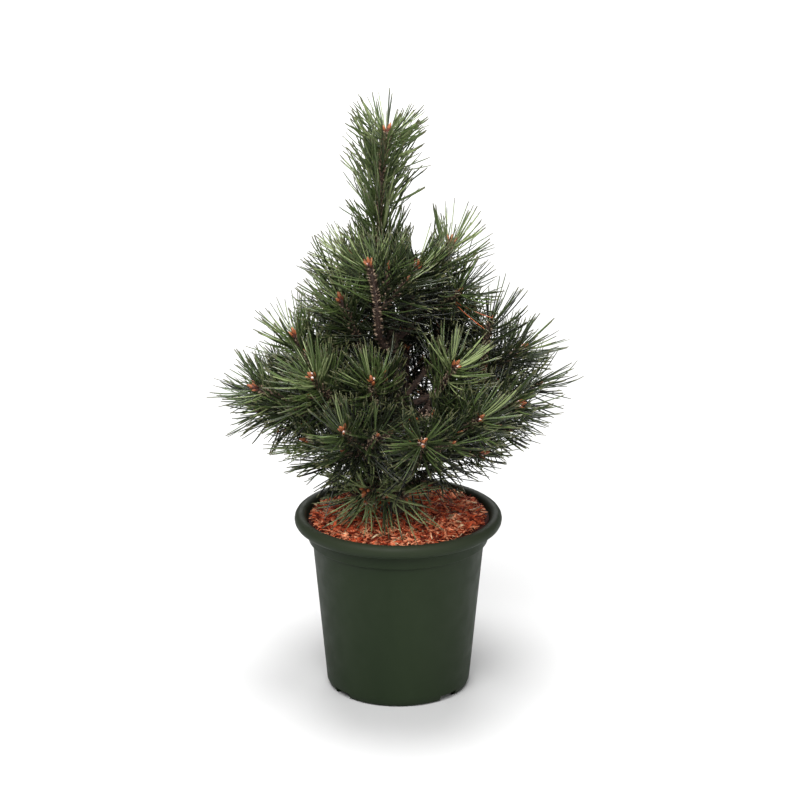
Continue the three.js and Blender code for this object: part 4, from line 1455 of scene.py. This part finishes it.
# %% [markdown]
# ## Buds
# Each shoot ends in a cluster of resting buds: one in the middle and up to four round it. A bud is blunt
# and oblong, orange-brown at the top and dark red-brown below, and white resin dries between the buds of
# strong shoots. There are hundreds, so a bud is a turned body of few faces, and its scales are left to the
# finish.

# %% Where the buds sit
TWIG_BUD = 0.7  # the size of a twig's buds, where a main shoot's are 1
MIDDLE_SIZES = (0.95, 1.15)
SIDE_SIZES = (0.6, 0.95)
SIDE_LEANS = (0.3, 0.6)
BUD_STRAYS = 0.08
MIDDLE_SUNK = 2  # how far before the stem's end a bud starts
SIDE_SUNK = 2.6
SIDE_OUT = 2
RESIN_SHARE = 0.4  # of the side buds of main shoots
RESIN_AHEAD = 0.8
RESIN_OUT = 3.2


def bud_places():
    """The root, aim and size of every bud, and where resin sits."""
    dice = np.random.default_rng(47)
    places = []
    resin = []
    for limb in [*stems, leader]:
        at, ahead, side, up = limb.frame(1)
        main = limb is leader or limb in main_stems.values()
        ring = int(dice.integers(3, 5)) if main else int(dice.integers(0, 2))
        size = 1.0 if main else TWIG_BUD
        aim = unit(ahead + dice.normal(0, BUD_STRAYS, 3))
        places.append((at - ahead * MIDDLE_SUNK, aim, size * dice.uniform(*MIDDLE_SIZES)))
        start = dice.uniform(0, 6)
        for i in range(ring):
            turn = start + 2 * math.pi * i / ring
            out = side * math.cos(turn) + up * math.sin(turn)
            aim = unit(ahead + out * dice.uniform(*SIDE_LEANS))
            places.append((at - ahead * SIDE_SUNK + out * SIDE_OUT, aim, size * dice.uniform(*SIDE_SIZES)))
            if main and dice.uniform() < RESIN_SHARE:
                resin.append(at + ahead * RESIN_AHEAD + out * RESIN_OUT)
    return [np.array([place[k] for place in places]) for k in range(3)] + [np.array(resin)]


bud_at, bud_aim, bud_size, resin_at = bud_places()
print(len(bud_at), "buds, and", len(resin_at), "drops of resin")

# %% Buds and resin
BUD_LENGTH = 11
BUD_RADIUS = 2.2
BUD_OUTLINE = (0.72, 1.0, 0.98, 0.78, 0.3)  # share of the radius at each ring
DROP_LENGTH = 2.6
DROP_RADIUS = 1.7
DROP_OUTLINE = (0.5, 1, 0.9, 0.3)
BUD_SIDES = 6


def turned(name, at, aim, size, radii, length, marked=()):
    """One piece of small turned bodies: rings along the aim of each."""
    across = unit(np.cross(aim, (0.31, 0.52, 0.79)))
    out = np.cross(aim, across)
    shapes = np.empty((len(at), len(radii) * BUD_SIDES, 3))
    for ring, radius in enumerate(radii):
        for side in range(BUD_SIDES):
            turn = 2 * math.pi * side / BUD_SIDES
            offset = (across * math.cos(turn) + out * math.sin(turn)) * radius
            offset = offset + aim * (length * ring / (len(radii) - 1))
            shapes[:, ring * BUD_SIDES + side] = at + offset * size[:, None]
    return joined(name, shapes, *tube_faces(len(radii), BUD_SIDES), smooth=True, marked=marked)


def bud_finish(name, dark, light):
    finish = Finish(name, 0.5)
    mottle = finish.cloud(700, detail=4)
    finish.colour(finish.ramp(mottle, (0.3, dark), (0.7, light)))
    finish.relief(finish.cloud(1600, detail=3), 0.0004, strength=0.8)
    return finish.material


bud_radii = [share * BUD_RADIUS for share in BUD_OUTLINE]
foot_faces = range(2 * BUD_SIDES)
buds = turned("buds", bud_at, bud_aim, bud_size, bud_radii, BUD_LENGTH, marked=foot_faces)
bud_tips = bud_finish("bud_tips", (118, 62, 34), (158, 92, 52))
bud_feet = bud_finish("bud_feet", (70, 36, 30), (104, 56, 42))
keep(buds, [bud_tips, bud_feet], "foliage", *masses)

drop_radii = [share * DROP_RADIUS for share in DROP_OUTLINE]
upwards = np.tile((0.0, 0.0, 1.0), (len(resin_at), 1))
resin = turned("bud_resin", resin_at, upwards, np.ones(len(resin_at)), drop_radii, DROP_LENGTH)
keep(resin, [bud_finish("dry_resin", (176, 150, 144), (226, 212, 206))], "foliage", *masses)
